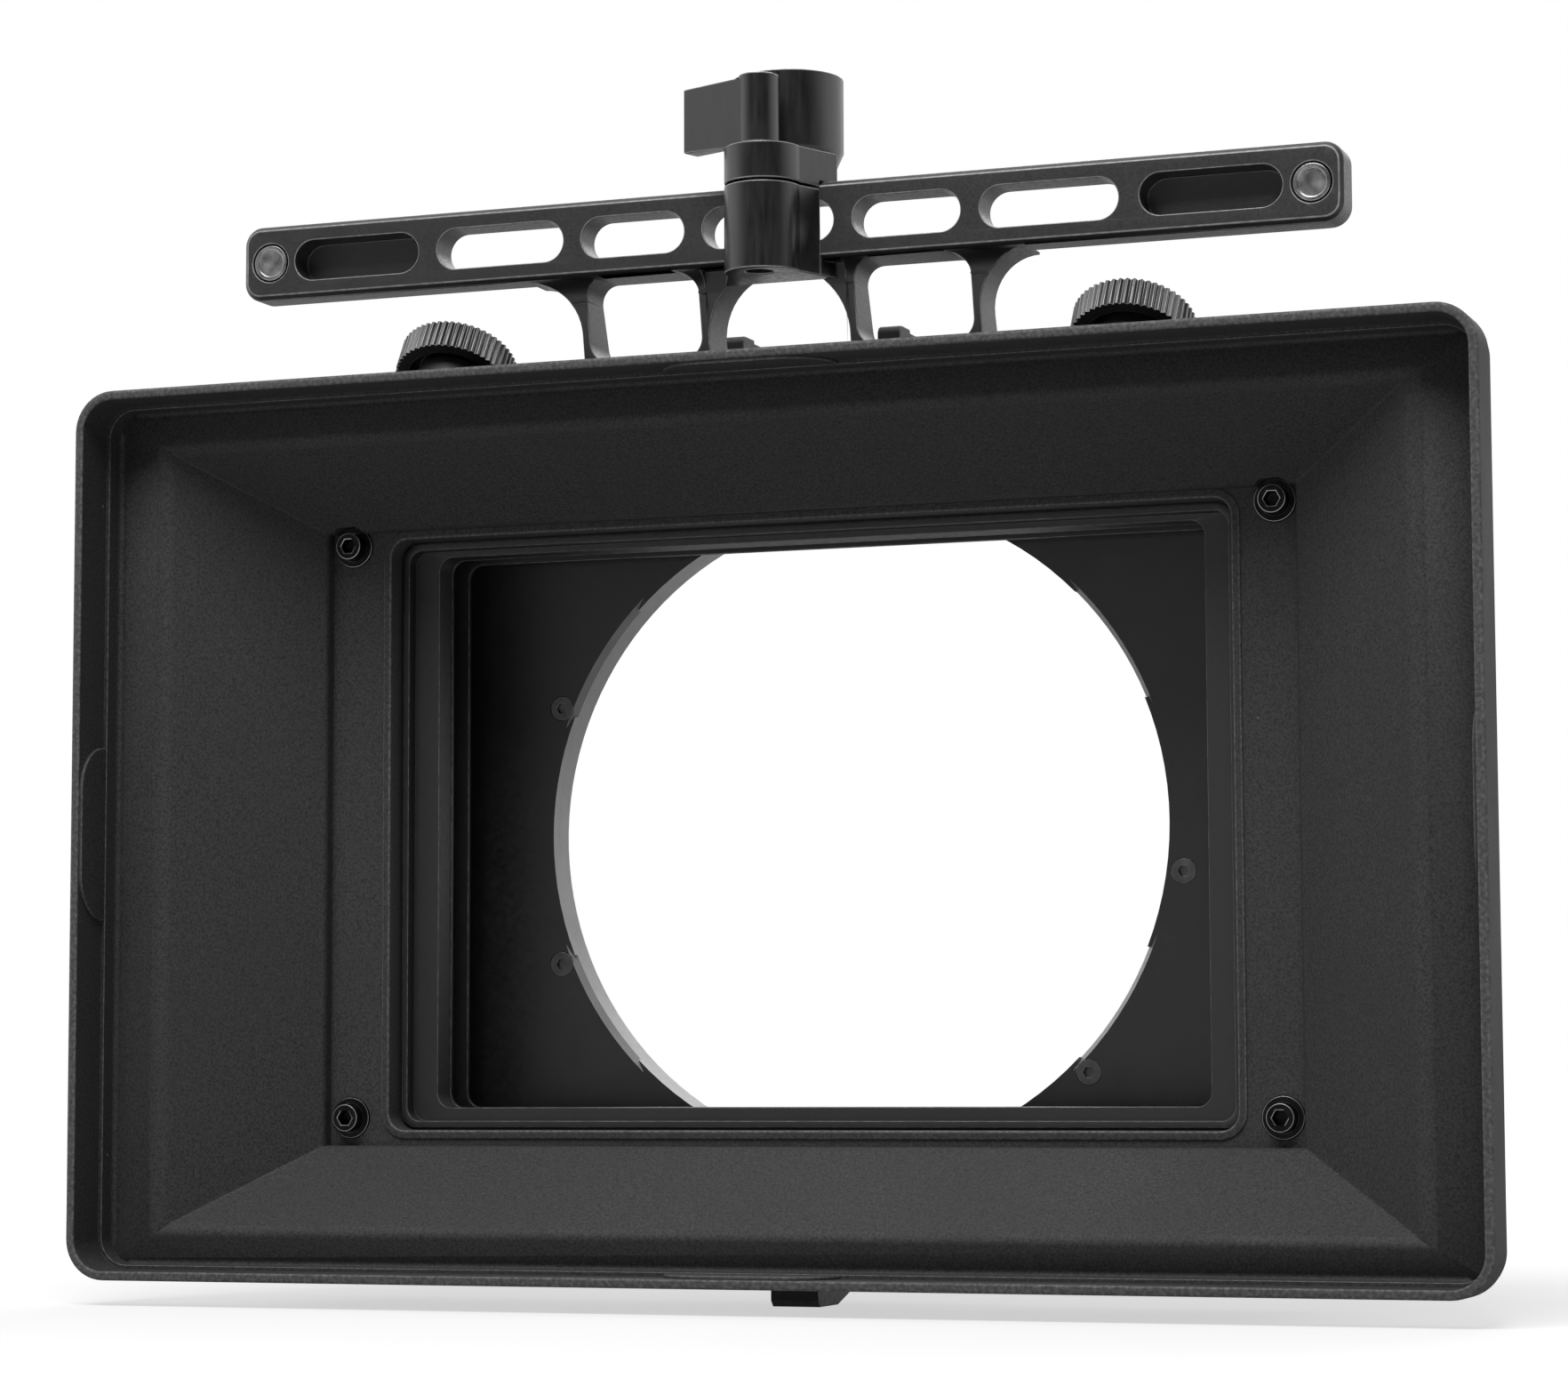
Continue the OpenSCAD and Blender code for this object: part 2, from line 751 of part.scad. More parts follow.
// Leaf that holds the filter in the tray at depth d
module filter_clip(d) {
  top = filter_h / 2 + filter_play_z - clip_gap;
  color(steel) {
    plate(d + tray_lip + clip_off, filter_t - clip_off)
      translate([-clip_w / 2, top - clip_t]) square([clip_w, clip_t]);
    plate(d + tray_lip + clip_off, clip_t)
      translate([-clip_w / 2, top - clip_lug]) square([clip_w, clip_lug]);
  }
}

module filter_clip_front() {
  filter_clip(tray_a);
}

module filter_clip_rear() {
  filter_clip(tray_b);
}

module tray_plungers() {
  color(steel) for (s = [-1, 1], d = [tray_a, tray_b])
    rod_x(s > 0 ? rail_in - plunger_tip : -rail_in - plunger_len + plunger_tip,
      s > 0 ? rail_in + plunger_len - plunger_tip : -rail_in + plunger_tip,
      d + tray_t / 2, plunger_z, plunger_d / 2);
}

// Outline of the four slant-ended reliefs round the back plate's bore
module relief_outline(r) {
  middle = (relief_from + relief_to) / 2;
  apex = relief_apex * r * [cos(middle), sin(middle)];
  start = r * [cos(relief_from), sin(relief_from)] - apex;
  end = r * [cos(relief_to), sin(relief_to)] - apex;
  for (sx = [-1, 1], sz = [-1, 1]) scale([sx, sz]) intersection() {
    circle(r + 2 * relief_deep, $fn = 128);
    polygon([apex, apex + 2 * start, apex + r * (start + end) / norm(start + end),
      apex + 2 * end]);
  }
}

module back_plate() {
  color(ink) difference() {
    plate(plate_front, plate_t)
      translate([0, stage_mid]) rounded(stage_w, stage_h, stage_corner_r);
    plate(plate_front - over, plate_t + 2 * over) circle(lens_r, $fn = 128);
    intersection() {
      plate(plate_front - over, plate_t) relief_outline(lens_r);
      translate([0, y_at(plate_front) - over, 0]) rotate([-90, 0, 0])
        cylinder(h = plate_t, r1 = lens_r + relief_deep, r2 = lens_r - over, $fn = 128);
    }
    at_stage_bolts() rod_y(plate_front - over, plate_t + 2 * over, stage_bolt_d / 2 + free);
    at_ring_screws() {
      rod_y(plate_front - over, ring_head_t + over, ring_screw_head_d / 2 + head_free);
      rod_y(plate_front, plate_t + over, ring_screw_d / 2 + free);
    }
  }
}

module stage_bolts() {
  color(steel) at_stage_bolts() {
    rod_y(frame_back - bolt_bite, plate_back + bolt_bite - frame_back + over, stage_bolt_d / 2);
    rod_y(plate_back, bolt_head_t, bolt_head_r);
  }
}

module clamp_ring() {
  color(metal_black) difference() {
    union() {
      rod_y(plate_back, ring_t, clamp_out);
      plate(plate_back, ring_t)
        translate([-ear_x, ear_root]) square([2 * ear_x, ear_z - ear_root]);
    }
    plate(plate_back - over, ring_t + 2 * over) circle(lens_r, $fn = 128);
    translate([0, y_at(overall_depth) - lead_in, 0]) rotate([-90, 0, 0])
      cylinder(h = lead_in + run, r1 = lens_r, r2 = lens_r + (lead_in + run) * lead_slope);
    plate(plate_back - over, ring_t + 2 * over)
      translate([-slit_w / 2, lens_r / 2]) square([slit_w, ear_z]);
    rod_x(-ear_x - over, 0, clamp_mid, ear_axis, clamp_screw_d / 2 + tap);
    rod_x(0, ear_x + over, clamp_mid, ear_axis, clamp_screw_d / 2 + run);
    at_ring_screws() rod_y(plate_back - over, ring_screw_reach + over, ring_screw_d / 2 + tap);
  }
}

module ring_screws() {
  color(steel) at_ring_screws() difference() {
    union() {
      rod_y(plate_front, ring_head_t, ring_screw_head_d / 2);
      rod_y(plate_front + ring_head_t / 2, plate_t - ring_head_t / 2 + ring_screw_reach - hole_room,
        ring_screw_d / 2);
    }
    plate(plate_front - over, ring_hex_deep + over) circle(r = ring_hex_r, $fn = 6);
  }
}

module clamp_screw() {
  color(steel) {
    rod_x(-ear_x + over, knob_x + knob_bite, clamp_mid, ear_axis, clamp_screw_d / 2);
    rod_x(ear_x + hole_room, ear_x + hole_room + stop_len, clamp_mid, ear_axis,
      clamp_screw_d / 2 + stop_w);
  }
}

module clamp_knob() {
  color(metal_black) difference() {
    rod_x(knob_x, knob_x + knob_len, clamp_mid, ear_axis, knob_d / 2);
    rod_x(knob_x - over, knob_x + knob_bite + hole_room, clamp_mid, ear_axis,
      clamp_screw_d / 2 + tap);
    for (i = [0:flutes - 1])
      translate([0, y_at(clamp_mid), ear_axis]) rotate([i * 360 / flutes, 0, 0])
        translate([knob_x - over, 0, knob_d / 2]) rotate([0, 90, 0])
          cylinder(h = knob_len + 2 * over, r = flute_r);
  }
}

// Depth of the bracket's front face at height z
function web_front(z) = web_depth + (web_top_z - z) * web_slope;

// Front outline of the bracket below the bar
module bracket_outline() {
  fill_z = bar_z + web_sink;
  difference() {
    union() {
      translate([-leg_out, bracket_foot_z])
        square([2 * leg_out, fill_z - bracket_foot_z]);
      for (s = [-1, 1]) scale([s, 1]) difference() {
        translate([leg_out - over, bar_z - flare_r])
          square([flare_r + over, flare_r + web_sink]);
        translate([leg_out + flare_r, bar_z - flare_r]) circle(flare_r);
      }
      for (s = [-1, 1]) scale([s, 1])
        translate([leg_out - over, bracket_foot_z])
          square([pad_to - leg_out + over, bracket_foot_t]);
    }
    for (s = [-1, 1])
      translate([s * (leg_in + leg_out) / 2, (sill_z + bar_z) / 2])
        rounded(leg_out - leg_in - 2 * leg_w, bar_z - sill_z, window_r);
    difference() {
      translate([-leg_in, bracket_foot_z + arch_sill])
        square([2 * leg_in, bar_z - bracket_foot_z - arch_sill]);
      for (s = [-1, 1]) scale([s, 1]) difference() {
        translate([leg_in - arch_r, bar_z - arch_r]) square([arch_r + over, arch_r + over]);
        translate([leg_in - arch_r, bar_z - arch_r]) circle(arch_r);
      }
    }
  }
}

// Side outline of the bracket's leaning web, in depth and Z
module web_profile() {
  front_top = web_depth - web_step;
  rear_top = front_top + web_t;
  rear_turn_z = bar_z - (web_foot_rear - rear_top) / rear_slope;
  polygon([
    [front_top, bar_z + web_sink], [web_depth, web_top_z],
    [web_front(bracket_foot_z), bracket_foot_z], [web_foot_rear, bracket_foot_z],
    [web_foot_rear, rear_turn_z], [rear_top, bar_z], [bar_depth + bar_t - over, bar_z + web_rise],
    [front_top, bar_z + web_rise]
  ]);
}

module bar_bracket() {
  fillet = web_depth - bar_depth - web_step;
  color(ink) difference() {
    union() {
      plate(bar_depth, bar_t) translate([0, slot_z]) rounded(bar_w, bar_h, bar_r);
      intersection() {
        plate(bar_depth + over, hood_depth) bracket_outline();
        side(-bar_w, bar_w) web_profile();
      }
      for (s = [-1, 1]) intersection() {
        plate(bar_depth, bar_t) bracket_outline();
        side(s > 0 ? leg_in : -leg_out - flare_r, s > 0 ? leg_out + flare_r : -leg_in)
          difference() {
            translate([web_depth - fillet, bar_z - fillet])
              square([fillet + web_sink, fillet + web_sink]);
            translate([web_depth - fillet, bar_z - fillet]) circle(fillet);
          }
      }
      for (s = [-1, 1])
        level(bracket_foot_z, bracket_foot_z + bracket_foot_t)
          translate([s > 0 ? pad_from : -pad_to, web_foot_rear - pad_lap])
            square([pad_to - pad_from, frame_back - web_foot_rear + pad_lap]);
    }
    plate(bar_depth - over, bar_t + 2 * over) translate([0, slot_z]) {
      slot_shape(-slot_mid / 2, slot_mid / 2, slot_h);
      for (s = [-1, 1]) scale([s, 1]) {
        slot_shape(slot_a_from, slot_a_to, slot_h);
        slot_shape(slot_b_from, slot_b_to, slot_h);
      }
    }
    plate(bar_depth - over, pocket_deep + over) translate([0, slot_z])
      for (s = [-1, 1]) scale([s, 1]) slot_shape(pocket_from, pocket_to, slot_h);
    for (s = [-1, 1]) translate([s * cap_x, 0, slot_z])
      rod_y(bar_depth - over, cap_t + over, cap_d / 2 + cap_groove);
    at_bracket_screws(bracket_foot_z - over, bracket_foot_t + 2 * over, bracket_screw_d / 2 + free);
  }
}

// Round shape of radius r from height z at each bracket screw
module at_bracket_screws(z, h, r) {
  for (s = [-1, 1]) translate([s * pad_screw_x, y_at(bracket_screw_depth), z])
    cylinder(h = h, r = r);
}

module bracket_screws() {
  color(steel) {
    at_bracket_screws(stage_top - bracket_bite, bracket_bite + bracket_foot_t + over,
      bracket_screw_d / 2);
    at_bracket_screws(bracket_foot_z + bracket_foot_t, bracket_head_t, bracket_head_r);
  }
}

module end_caps() {
  color(silver) for (s = [-1, 1]) translate([s * cap_x, 0, slot_z]) difference() {
    rod_y(bar_depth + cap_sunk, cap_t - cap_sunk, cap_d / 2);
    rod_y(bar_depth, cap_sunk + cap_dish, cap_d / 2 - cap_rim);
  }
}

// Plan outline of the clamp's nose, which widens back to depth d2
module nose_outline(d2) {
  lean = (nose_rear_w - nose_r) / (web_depth - nose_depth);
  rear = nose_r + lean * (d2 - nose_depth);
  translate([nose_x, 0]) {
    intersection() {
      translate([0, nose_depth]) circle(nose_r);
      translate([-nose_r - over, nose_depth - nose_r - over])
        square([2 * (nose_r + over), nose_r + 2 * over]);
    }
    polygon([[-nose_r, nose_depth], [nose_r, nose_depth], [rear, d2], [-rear, d2]]);
  }
}

module jaw_body() {
  color(ink) difference() {
    union() {
      level(hook_z, nose_top) nose_outline(bar_depth);
      level(hook_z, bar_z) nose_outline(web_depth - web_gap);
    }
    translate([nose_x, y_at(nose_screw_depth), hook_z - over])
      cylinder(h = nose_top - hook_z + 2 * over, r = jaw_screw_d / 2 + run);
  }
}

module jaw_top() {
  color(ink) difference() {
    union() {
      difference() {
        level(nose_top + jaw_gap, jaw_top_z) nose_outline(web_depth);
        level(bar_z, bar_top) translate([nose_x - 2 * nose_rear_w, bar_depth - bar_free])
          square([4 * nose_rear_w, bar_t]);
      }
      translate([nose_x, y_at(socket_depth), bar_top]) rotate_extrude() polygon([
        [0, 0], [socket_foot_r, 0], [socket_r, socket_cone_z - bar_top],
        [socket_r, socket_top - bar_top], [0, socket_top - bar_top]
      ]);
    }
    translate([nose_x, y_at(nose_screw_depth), bar_z])
      cylinder(h = jaw_top_z - bar_z + over, r = jaw_screw_d / 2 + run);
    translate([nose_x, y_at(socket_depth), socket_floor])
      cylinder(h = socket_top - socket_floor + over, r = socket_hole_d / 2);
  }
}

module jaw_screw() {
  foot = hook_z + screw_foot;
  color(steel) translate([nose_x, y_at(nose_screw_depth), foot])
    cylinder(h = hub_top - hub_roof - hole_room - foot, r = jaw_screw_d / 2);
}

module clamp_lever() {
  color(ink) translate([nose_x, y_at(nose_screw_depth), 0]) difference() {
    union() {
      translate([0, 0, lever_seat])
        cylinder(h = hub_top - lever_seat, r = hub_d / 2);
      rotate([0, 0, wing_angle]) translate([0, hub_d / 2 - wing_t - wing_inset, lever_z])
        cube([lever_len, wing_t, lever_h]);
    }
    translate([0, 0, lever_seat - over])
      cylinder(h = hub_top - hub_roof - lever_seat + over, r = jaw_screw_d / 2 + tap);
  }
}

// Post with its stud, screwed into the hood's boss
module flag_post(x) {
  color(metal_black) {
    on_wheel_axis(x, boss_top) cylinder(h = washer_at - boss_top, r = post_d / 2);
    on_wheel_axis(x, boss_top - stud_sink)
      cylinder(h = wheel_t + stud_over - boss_top + stud_sink, r = stud_d / 2);
  }
}

module flag_post_left() {
  flag_post(-wheel_x);
}

module flag_post_right() {
  flag_post(wheel_x);
}

// Loose washer between post and wheel, out along the axis by s
module flag_washer(x, s) {
  color(steel) on_wheel_axis(x, washer_at + s) difference() {
    cylinder(h = washer_t, r = post_d / 2);
    translate([0, 0, -over]) cylinder(h = washer_t + 2 * over, r = stud_d / 2 + run);
  }
}

module flag_washer_left() {
  flag_washer(-wheel_x, left_out);
}

module flag_washer_right() {
  flag_washer(wheel_x, 0);
}

// Knurled wheel with its underside hollowed over the post, out along the axis by s
module thumb_wheel(x, s) {
  color(metal_black) on_wheel_axis(x, s) difference() {
    cylinder(h = wheel_t, r = wheel_d / 2, $fn = 128);
    for (i = [0:wheel_teeth - 1]) rotate([0, 0, i * 360 / wheel_teeth])
      translate([wheel_d / 2, 0, -over]) rotate([0, 0, 45])
        translate([-tooth / 2, -tooth / 2, 0]) cube([tooth, tooth, wheel_t + 2 * over]);
    translate([0, 0, -over]) cylinder(h = recess_deep + over, r = wheel_d / 2 - rim_t);
    translate([0, 0, -over]) cylinder(h = wheel_t + 2 * over, r = stud_d / 2 + run);
  }
}

module thumb_wheel_left() {
  thumb_wheel(-wheel_x, left_out);
}

module thumb_wheel_right() {
  thumb_wheel(wheel_x, 0);
}

// Places the two screws of the foot, from height z up
module at_foot_screws(z) {
  for (sx = [-1, 1]) translate([sx * foot_screw_x, y_at(rails_mid), z]) children();
}

module support_foot() {
  plate_z = -stage_bottom - foot_plate_t;
  rear = foot_depth + foot_len;
  color(ink) difference() {
    union() {
      side(-foot_w / 2, foot_w / 2) polygon([
        [foot_depth, foot_edge - foot_z], [foot_depth, plate_z - foot_plate_t],
        [foot_depth + foot_plate_t, plate_z], [hood_depth + foot_setback, plate_z],
        [hood_depth + foot_setback, -stage_bottom], [plate_front, -stage_bottom],
        [plate_front, plate_z - foot_plate_t], [rear, foot_rise - foot_z],
        [rear - foot_brow, foot_rise / 2 - foot_z],
        [foot_depth + 2 * foot_hole_at - 2 * foot_edge, -foot_z], [foot_depth + foot_edge, -foot_z]
      ]);
      level(plate_z, -stage_bottom) translate([0, rails_mid])
        square([foot_plate_w, foot_plate_len], center = true);
    }
    at_foot_screws(plate_z - over)
      cylinder(h = foot_plate_t + 2 * over, r = stage_bolt_d / 2 + free);
    translate([0, y_at(foot_depth + foot_hole_at), -foot_z - over])
      cylinder(h = foot_hole_deep + over, r = foot_hole_d / 2);
  }
}

module foot_screws() {
  plate_z = -stage_bottom - foot_plate_t;
  color(steel) {
    at_foot_screws(plate_z) cylinder(h = foot_plate_t + foot_screw_bite, r = stage_bolt_d / 2);
    at_foot_screws(plate_z - foot_head_t)
      cylinder(h = foot_head_t, r = foot_head_r);
  }
}

sunshade_hood();
hood_screws();
hood_collars();
front_frame();
rail_left();
rail_right();
bottom_rail();
tray_front();
tray_rear();
pull_front();
pull_rear();
filter_clip_front();
filter_clip_rear();
tray_plungers();
back_plate();
stage_bolts();
clamp_ring();
ring_screws();
clamp_screw();
clamp_knob();
bar_bracket();
bracket_screws();
end_caps();
jaw_body();
jaw_top();
jaw_screw();
clamp_lever();
flag_post_left();
flag_post_right();
flag_washer_left();
flag_washer_right();
thumb_wheel_left();
thumb_wheel_right();
support_foot();
foot_screws();
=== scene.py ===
import math

import bmesh
import bpy
from mathutils import Matrix, Vector


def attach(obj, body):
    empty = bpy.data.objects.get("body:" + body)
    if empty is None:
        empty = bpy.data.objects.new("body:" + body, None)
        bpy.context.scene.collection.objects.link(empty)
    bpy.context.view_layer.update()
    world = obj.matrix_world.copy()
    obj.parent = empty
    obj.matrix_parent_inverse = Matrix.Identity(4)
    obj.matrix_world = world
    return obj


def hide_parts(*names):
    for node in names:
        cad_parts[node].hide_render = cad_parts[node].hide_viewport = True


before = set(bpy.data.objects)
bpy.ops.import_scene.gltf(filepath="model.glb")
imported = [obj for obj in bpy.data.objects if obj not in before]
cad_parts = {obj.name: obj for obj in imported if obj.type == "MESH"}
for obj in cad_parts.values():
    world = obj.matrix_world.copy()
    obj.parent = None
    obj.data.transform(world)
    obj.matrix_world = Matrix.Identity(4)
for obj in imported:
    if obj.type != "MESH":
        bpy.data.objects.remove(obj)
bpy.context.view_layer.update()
MM = 0.001

# The view: a long lens stands low and to the right of the hood, turned left and tipped up a little.
# The photograph is 1764 by 1550, and its width is the 36 mm side.
TURNED_LEFT = 20.284
TIPPED_UP = 5.287
ROLLED = -0.196
camera_data = bpy.data.cameras.new("view_camera")
camera_data.sensor_fit = "HORIZONTAL"
camera_data.sensor_width = 36.0
camera_data.lens = 96.54
camera_data.clip_start = 0.01
camera_data.clip_end = 20.0
camera = bpy.data.objects.new("view_camera", camera_data)
camera.location = (0.243253, -0.699732, -0.043389)
camera.rotation_euler = (math.radians(90 + TIPPED_UP), 0.0, math.radians(TURNED_LEFT))
camera.rotation_euler.rotate_axis("Z", math.radians(ROLLED))
bpy.context.scene.collection.objects.link(camera)
bpy.context.scene.camera = camera


# Sunshade hood: one moulding of matt black ABS with a fine grain on every face.
# Behind the rim's band a gutter rises to a soft crest, and a funnel with mitred corners
# leads down to a flat flange. Long use has worn the rim and the rear opening pale.
ORIGIN_DEPTH = 65.1  # from the rim's face back to the frame's origin; the other depths start at the face
RIM_HALF = 122.35
RIM_TOP = 75.5
RIM_BOTTOM = 77.2
LIP_WALL = 1.6
BAND_DEPTH = 8.5
CREST_DEPTH = 9.5
GUTTER_DEPTH = 12.5
THROAT_DEPTH = 27.5
FLANGE_DEPTH = 29.8
ABS_GRAIN = 0.4
CLOUDS_PER_METRE = 45.0
SPECKS_PER_METRE = 85.0
MIX_FIRST, MIX_SECOND, MIX_RESULT = 6, 7, 2  # the colour sockets of a Mix node


def linear(code):
    """The linear colour that an sRGB hex code stands for."""
    parts = [int(code[i:i + 2], 16) / 255 for i in (1, 3, 5)]
    return [p / 12.92 if p <= 0.04045 else ((p + 0.055) / 1.055) ** 2.4 for p in parts] + [1.0]


def add_node(material, kind, settings=None, links=None, stops=(), **attributes):
    """Adds one node, sets its attributes and inputs, and links its inputs to other nodes' outputs.
    The stops of a colour ramp are places with a colour or a level of grey."""
    made = material.node_tree.nodes.new(kind)
    for name, value in attributes.items():
        setattr(made, name, value)
    for name, value in (settings or {}).items():
        made.inputs[name].default_value = value
    for name, source in (links or {}).items():
        material.node_tree.links.new(source, made.inputs[name])
    for _ in stops[2:]:
        made.color_ramp.elements.new(0.5)
    for index, (place, value) in enumerate(stops):
        element = made.color_ramp.elements[index]
        element.position = place
        element.color = value if isinstance(value, list) else [value, value, value, 1.0]
    return made


def blank_material(name):
    material = bpy.data.materials.new(name)
    material.use_nodes = True
    material.node_tree.nodes.clear()
    return material


def worn_and_highlit_edges(material, speckle_mm, thin=0.3):
    """A mask of the outward edges marked on the mesh, broken unevenly: thin is its least share. It carries
    wear, and on several metals painted highlights too.
    """
    edge = add_node(material, "ShaderNodeAttribute", attribute_name="worn")
    place = add_node(material, "ShaderNodeTexCoord").outputs["Object"]
    speckle = add_node(material, "ShaderNodeTexNoise", {"Scale": 1000 / speckle_mm, "Detail": 4.0},
                       {"Vector": place})
    broken = add_node(material, "ShaderNodeValToRGB", links={"Fac": speckle.outputs["Fac"]},
                      stops=[(0.42, thin), (0.66, 1.0)])
    both = add_node(material, "ShaderNodeMath", operation="MULTIPLY",
                    links={0: edge.outputs["Fac"], 1: broken.outputs["Color"]})
    return both.outputs["Value"]


def moulded_abs():
    """ABS from an eroded mould: its 0.3 mm grain is drawn at 0.4 mm so that it shows.
    Rubbed edges turn a paler grey, and specks of dust about 0.3 mm wide lie on it."""
    material = blank_material("matt black moulded ABS")
    place = add_node(material, "ShaderNodeTexCoord").outputs["Object"]
    grain = add_node(material, "ShaderNodeTexNoise",
                     {"Scale": 1000 / ABS_GRAIN, "Detail": 3.0, "Roughness": 0.7}, {"Vector": place})
    cloud = add_node(material, "ShaderNodeTexNoise", {"Scale": CLOUDS_PER_METRE, "Detail": 3.0},
                     {"Vector": place})
    grained = add_node(material, "ShaderNodeValToRGB", links={"Fac": grain.outputs["Fac"]},
                       stops=[(0.36, linear("#232323")), (0.64, linear("#4e4e4e"))])
    faint = add_node(material, "ShaderNodeValToRGB", links={"Fac": cloud.outputs["Fac"]},
                     stops=[(0.3, 0.0), (0.7, 0.35)])
    clouded = add_node(material, "ShaderNodeMix", {MIX_SECOND: linear("#3f3f3f")},
                       {0: faint.outputs["Color"], MIX_FIRST: grained.outputs["Color"]}, data_type="RGBA")
    rubbed = add_node(material, "ShaderNodeMix", {MIX_SECOND: linear("#808080")},
                      {0: worn_and_highlit_edges(material, 0.7), MIX_FIRST: clouded.outputs[MIX_RESULT]},
                      data_type="RGBA")
    cells = add_node(material, "ShaderNodeTexVoronoi", {"Scale": SPECKS_PER_METRE}, {"Vector": place})
    speck = add_node(material, "ShaderNodeValToRGB", links={"Fac": cells.outputs["Distance"]},
                     stops=[(0.014, 1.0), (0.024, 0.0)])
    chance = add_node(material, "ShaderNodeSeparateColor", links={"Color": cells.outputs["Color"]})
    chosen = add_node(material, "ShaderNodeValToRGB", links={"Fac": chance.outputs["Red"]},
                      stops=[(0.72, 0.0), (0.74, 1.0)])
    dust = add_node(material, "ShaderNodeMath", operation="MULTIPLY",
                    links={0: speck.outputs["Color"], 1: chosen.outputs["Color"]})
    dusty = add_node(material, "ShaderNodeMix", {MIX_SECOND: linear("#a5a5a3")},
                     {0: dust.outputs["Value"], MIX_FIRST: rubbed.outputs[MIX_RESULT]}, data_type="RGBA")
    dull = add_node(material, "ShaderNodeValToRGB", links={"Fac": cloud.outputs["Fac"]},
                    stops=[(0.2, 0.62), (0.8, 0.76)])
    bump = add_node(material, "ShaderNodeBump", {"Strength": 0.35, "Distance": 0.06 * MM},
                    {"Height": grain.outputs["Fac"]})
    shader = add_node(material, "ShaderNodeBsdfPrincipled", {"Specular IOR Level": 0.5},
                      {"Base Color": dusty.outputs[MIX_RESULT], "Roughness": dull.outputs["Color"],
                       "Normal": bump.outputs["Normal"]})
    add_node(material, "ShaderNodeOutputMaterial", links={"Surface": shader.outputs["BSDF"]})
    return material


def select_only(piece):
    bpy.ops.object.select_all(action="DESELECT")
    piece.select_set(True)
    bpy.context.view_layer.objects.active = piece


def select_none(piece):
    """Clears the selection kept in a mesh, before some of it is selected by its place."""
    for part in (piece.data.vertices, piece.data.edges, piece.data.polygons):
        part.foreach_set("select", [False] * len(part))


WELD = 0.002
FLAT_ANGLE = 0.6  # faces that bend less than this were one flat face


def copy_of(node, name):
    """A copy of a CAD node's mesh, welded, with its flat faces made whole again."""
    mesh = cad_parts[node].data.copy()
    mesh.materials.clear()
    for layer in [a.name for a in mesh.attributes if a.name.startswith("custom_normal")]:
        mesh.attributes.remove(mesh.attributes[layer])
    piece = bpy.data.objects.new(name, mesh)
    bpy.context.scene.collection.objects.link(piece)
    select_only(piece)
    bpy.ops.object.mode_set(mode="EDIT")
    bpy.ops.mesh.select_all(action="SELECT")
    bpy.ops.mesh.remove_doubles(threshold=WELD * MM)
    bpy.ops.mesh.dissolve_limited(angle_limit=math.radians(FLAT_ANGLE))
    bpy.ops.object.mode_set(mode="OBJECT")
    return piece


SHARP_ANGLE = 28.0


def soften(piece, width, sharp=SHARP_ANGLE, width_of=None, segments=2, worn=True, clamp=True):
    """Rounds the edges sharper than an angle, by one width or by width_of(edge), marked for wear and
    painted highlight or not.
    """
    while len(piece.data.materials) < 2:
        piece.data.materials.append(None)
    mesh = bmesh.new()
    mesh.from_mesh(piece.data)
    name = "bevel_weight_edge"
    layer = mesh.edges.layers.float.get(name) or mesh.edges.layers.float.new(name)
    for edge in mesh.edges:
        bent = len(edge.link_faces) == 2 and edge.calc_face_angle(0.0) > math.radians(sharp)
        edge[layer] = 0.0 if not bent else width_of(edge) / width if width_of else 1.0
    mesh.to_mesh(piece.data)
    mesh.free()
    rounding = piece.modifiers.new("rounding", "BEVEL")
    rounding.width = width
    rounding.segments = segments
    rounding.limit_method = "WEIGHT"
    rounding.use_clamp_overlap = clamp
    rounding.material = 1 if worn else 0
    select_only(piece)
    bpy.ops.object.modifier_apply(modifier="rounding")


STANDS_OUT = -0.1  # a corner's neighbours lie below its own plane by more than this
SMOOTH_ANGLE = 32


def mark_edge_wear_and_highlight(piece):
    """Writes the attribute "worn": 1 along the middle of each rounded edge that stands out."""
    mesh = bmesh.new()
    mesh.from_mesh(piece.data)
    mesh.normal_update()
    layer = mesh.verts.layers.float.new("worn")
    for vertex in mesh.verts:
        rounded = all(face.material_index == 1 for face in vertex.link_faces)
        lean = sum((edge.other_vert(vertex).co - vertex.co).normalized().dot(vertex.normal)
                   for edge in vertex.link_edges)
        vertex[layer] = 1.0 if rounded and lean < STANDS_OUT else 0.0
    for face in mesh.faces:
        face.material_index = 0
    mesh.to_mesh(piece.data)
    mesh.free()


def dress(piece, material, body, slot, *nodes):
    """Shades, paints and fastens a finished piece, which stands for these CAD nodes."""
    mark_edge_wear_and_highlight(piece)
    select_only(piece)
    bpy.ops.object.shade_smooth_by_angle(angle=math.radians(SMOOTH_ANGLE))
    flats = piece.modifiers.new("true flats", "WEIGHTED_NORMAL")
    flats.weight = 100
    flats.keep_sharp = True
    bpy.ops.object.modifier_apply(modifier="true flats")
    piece.data.materials.clear()
    piece.data.materials.append(material)
    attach(piece, body)
    if nodes:
        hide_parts(*nodes)


SLACK = 0.1  # how far a corner may lie from a level and still belong to it
WELL_INSIDE = LIP_WALL + 0.5
MITRE_TOP = 20.0
MITRE_FOOT = THROAT_DEPTH - 1.0
CREST_ROUND = 1.9
GUTTER_ROUND = 1.1
MITRE_ROUND = 0.3
THROAT_ROUND = 0.6
MITRE_ANGLE = 14.0


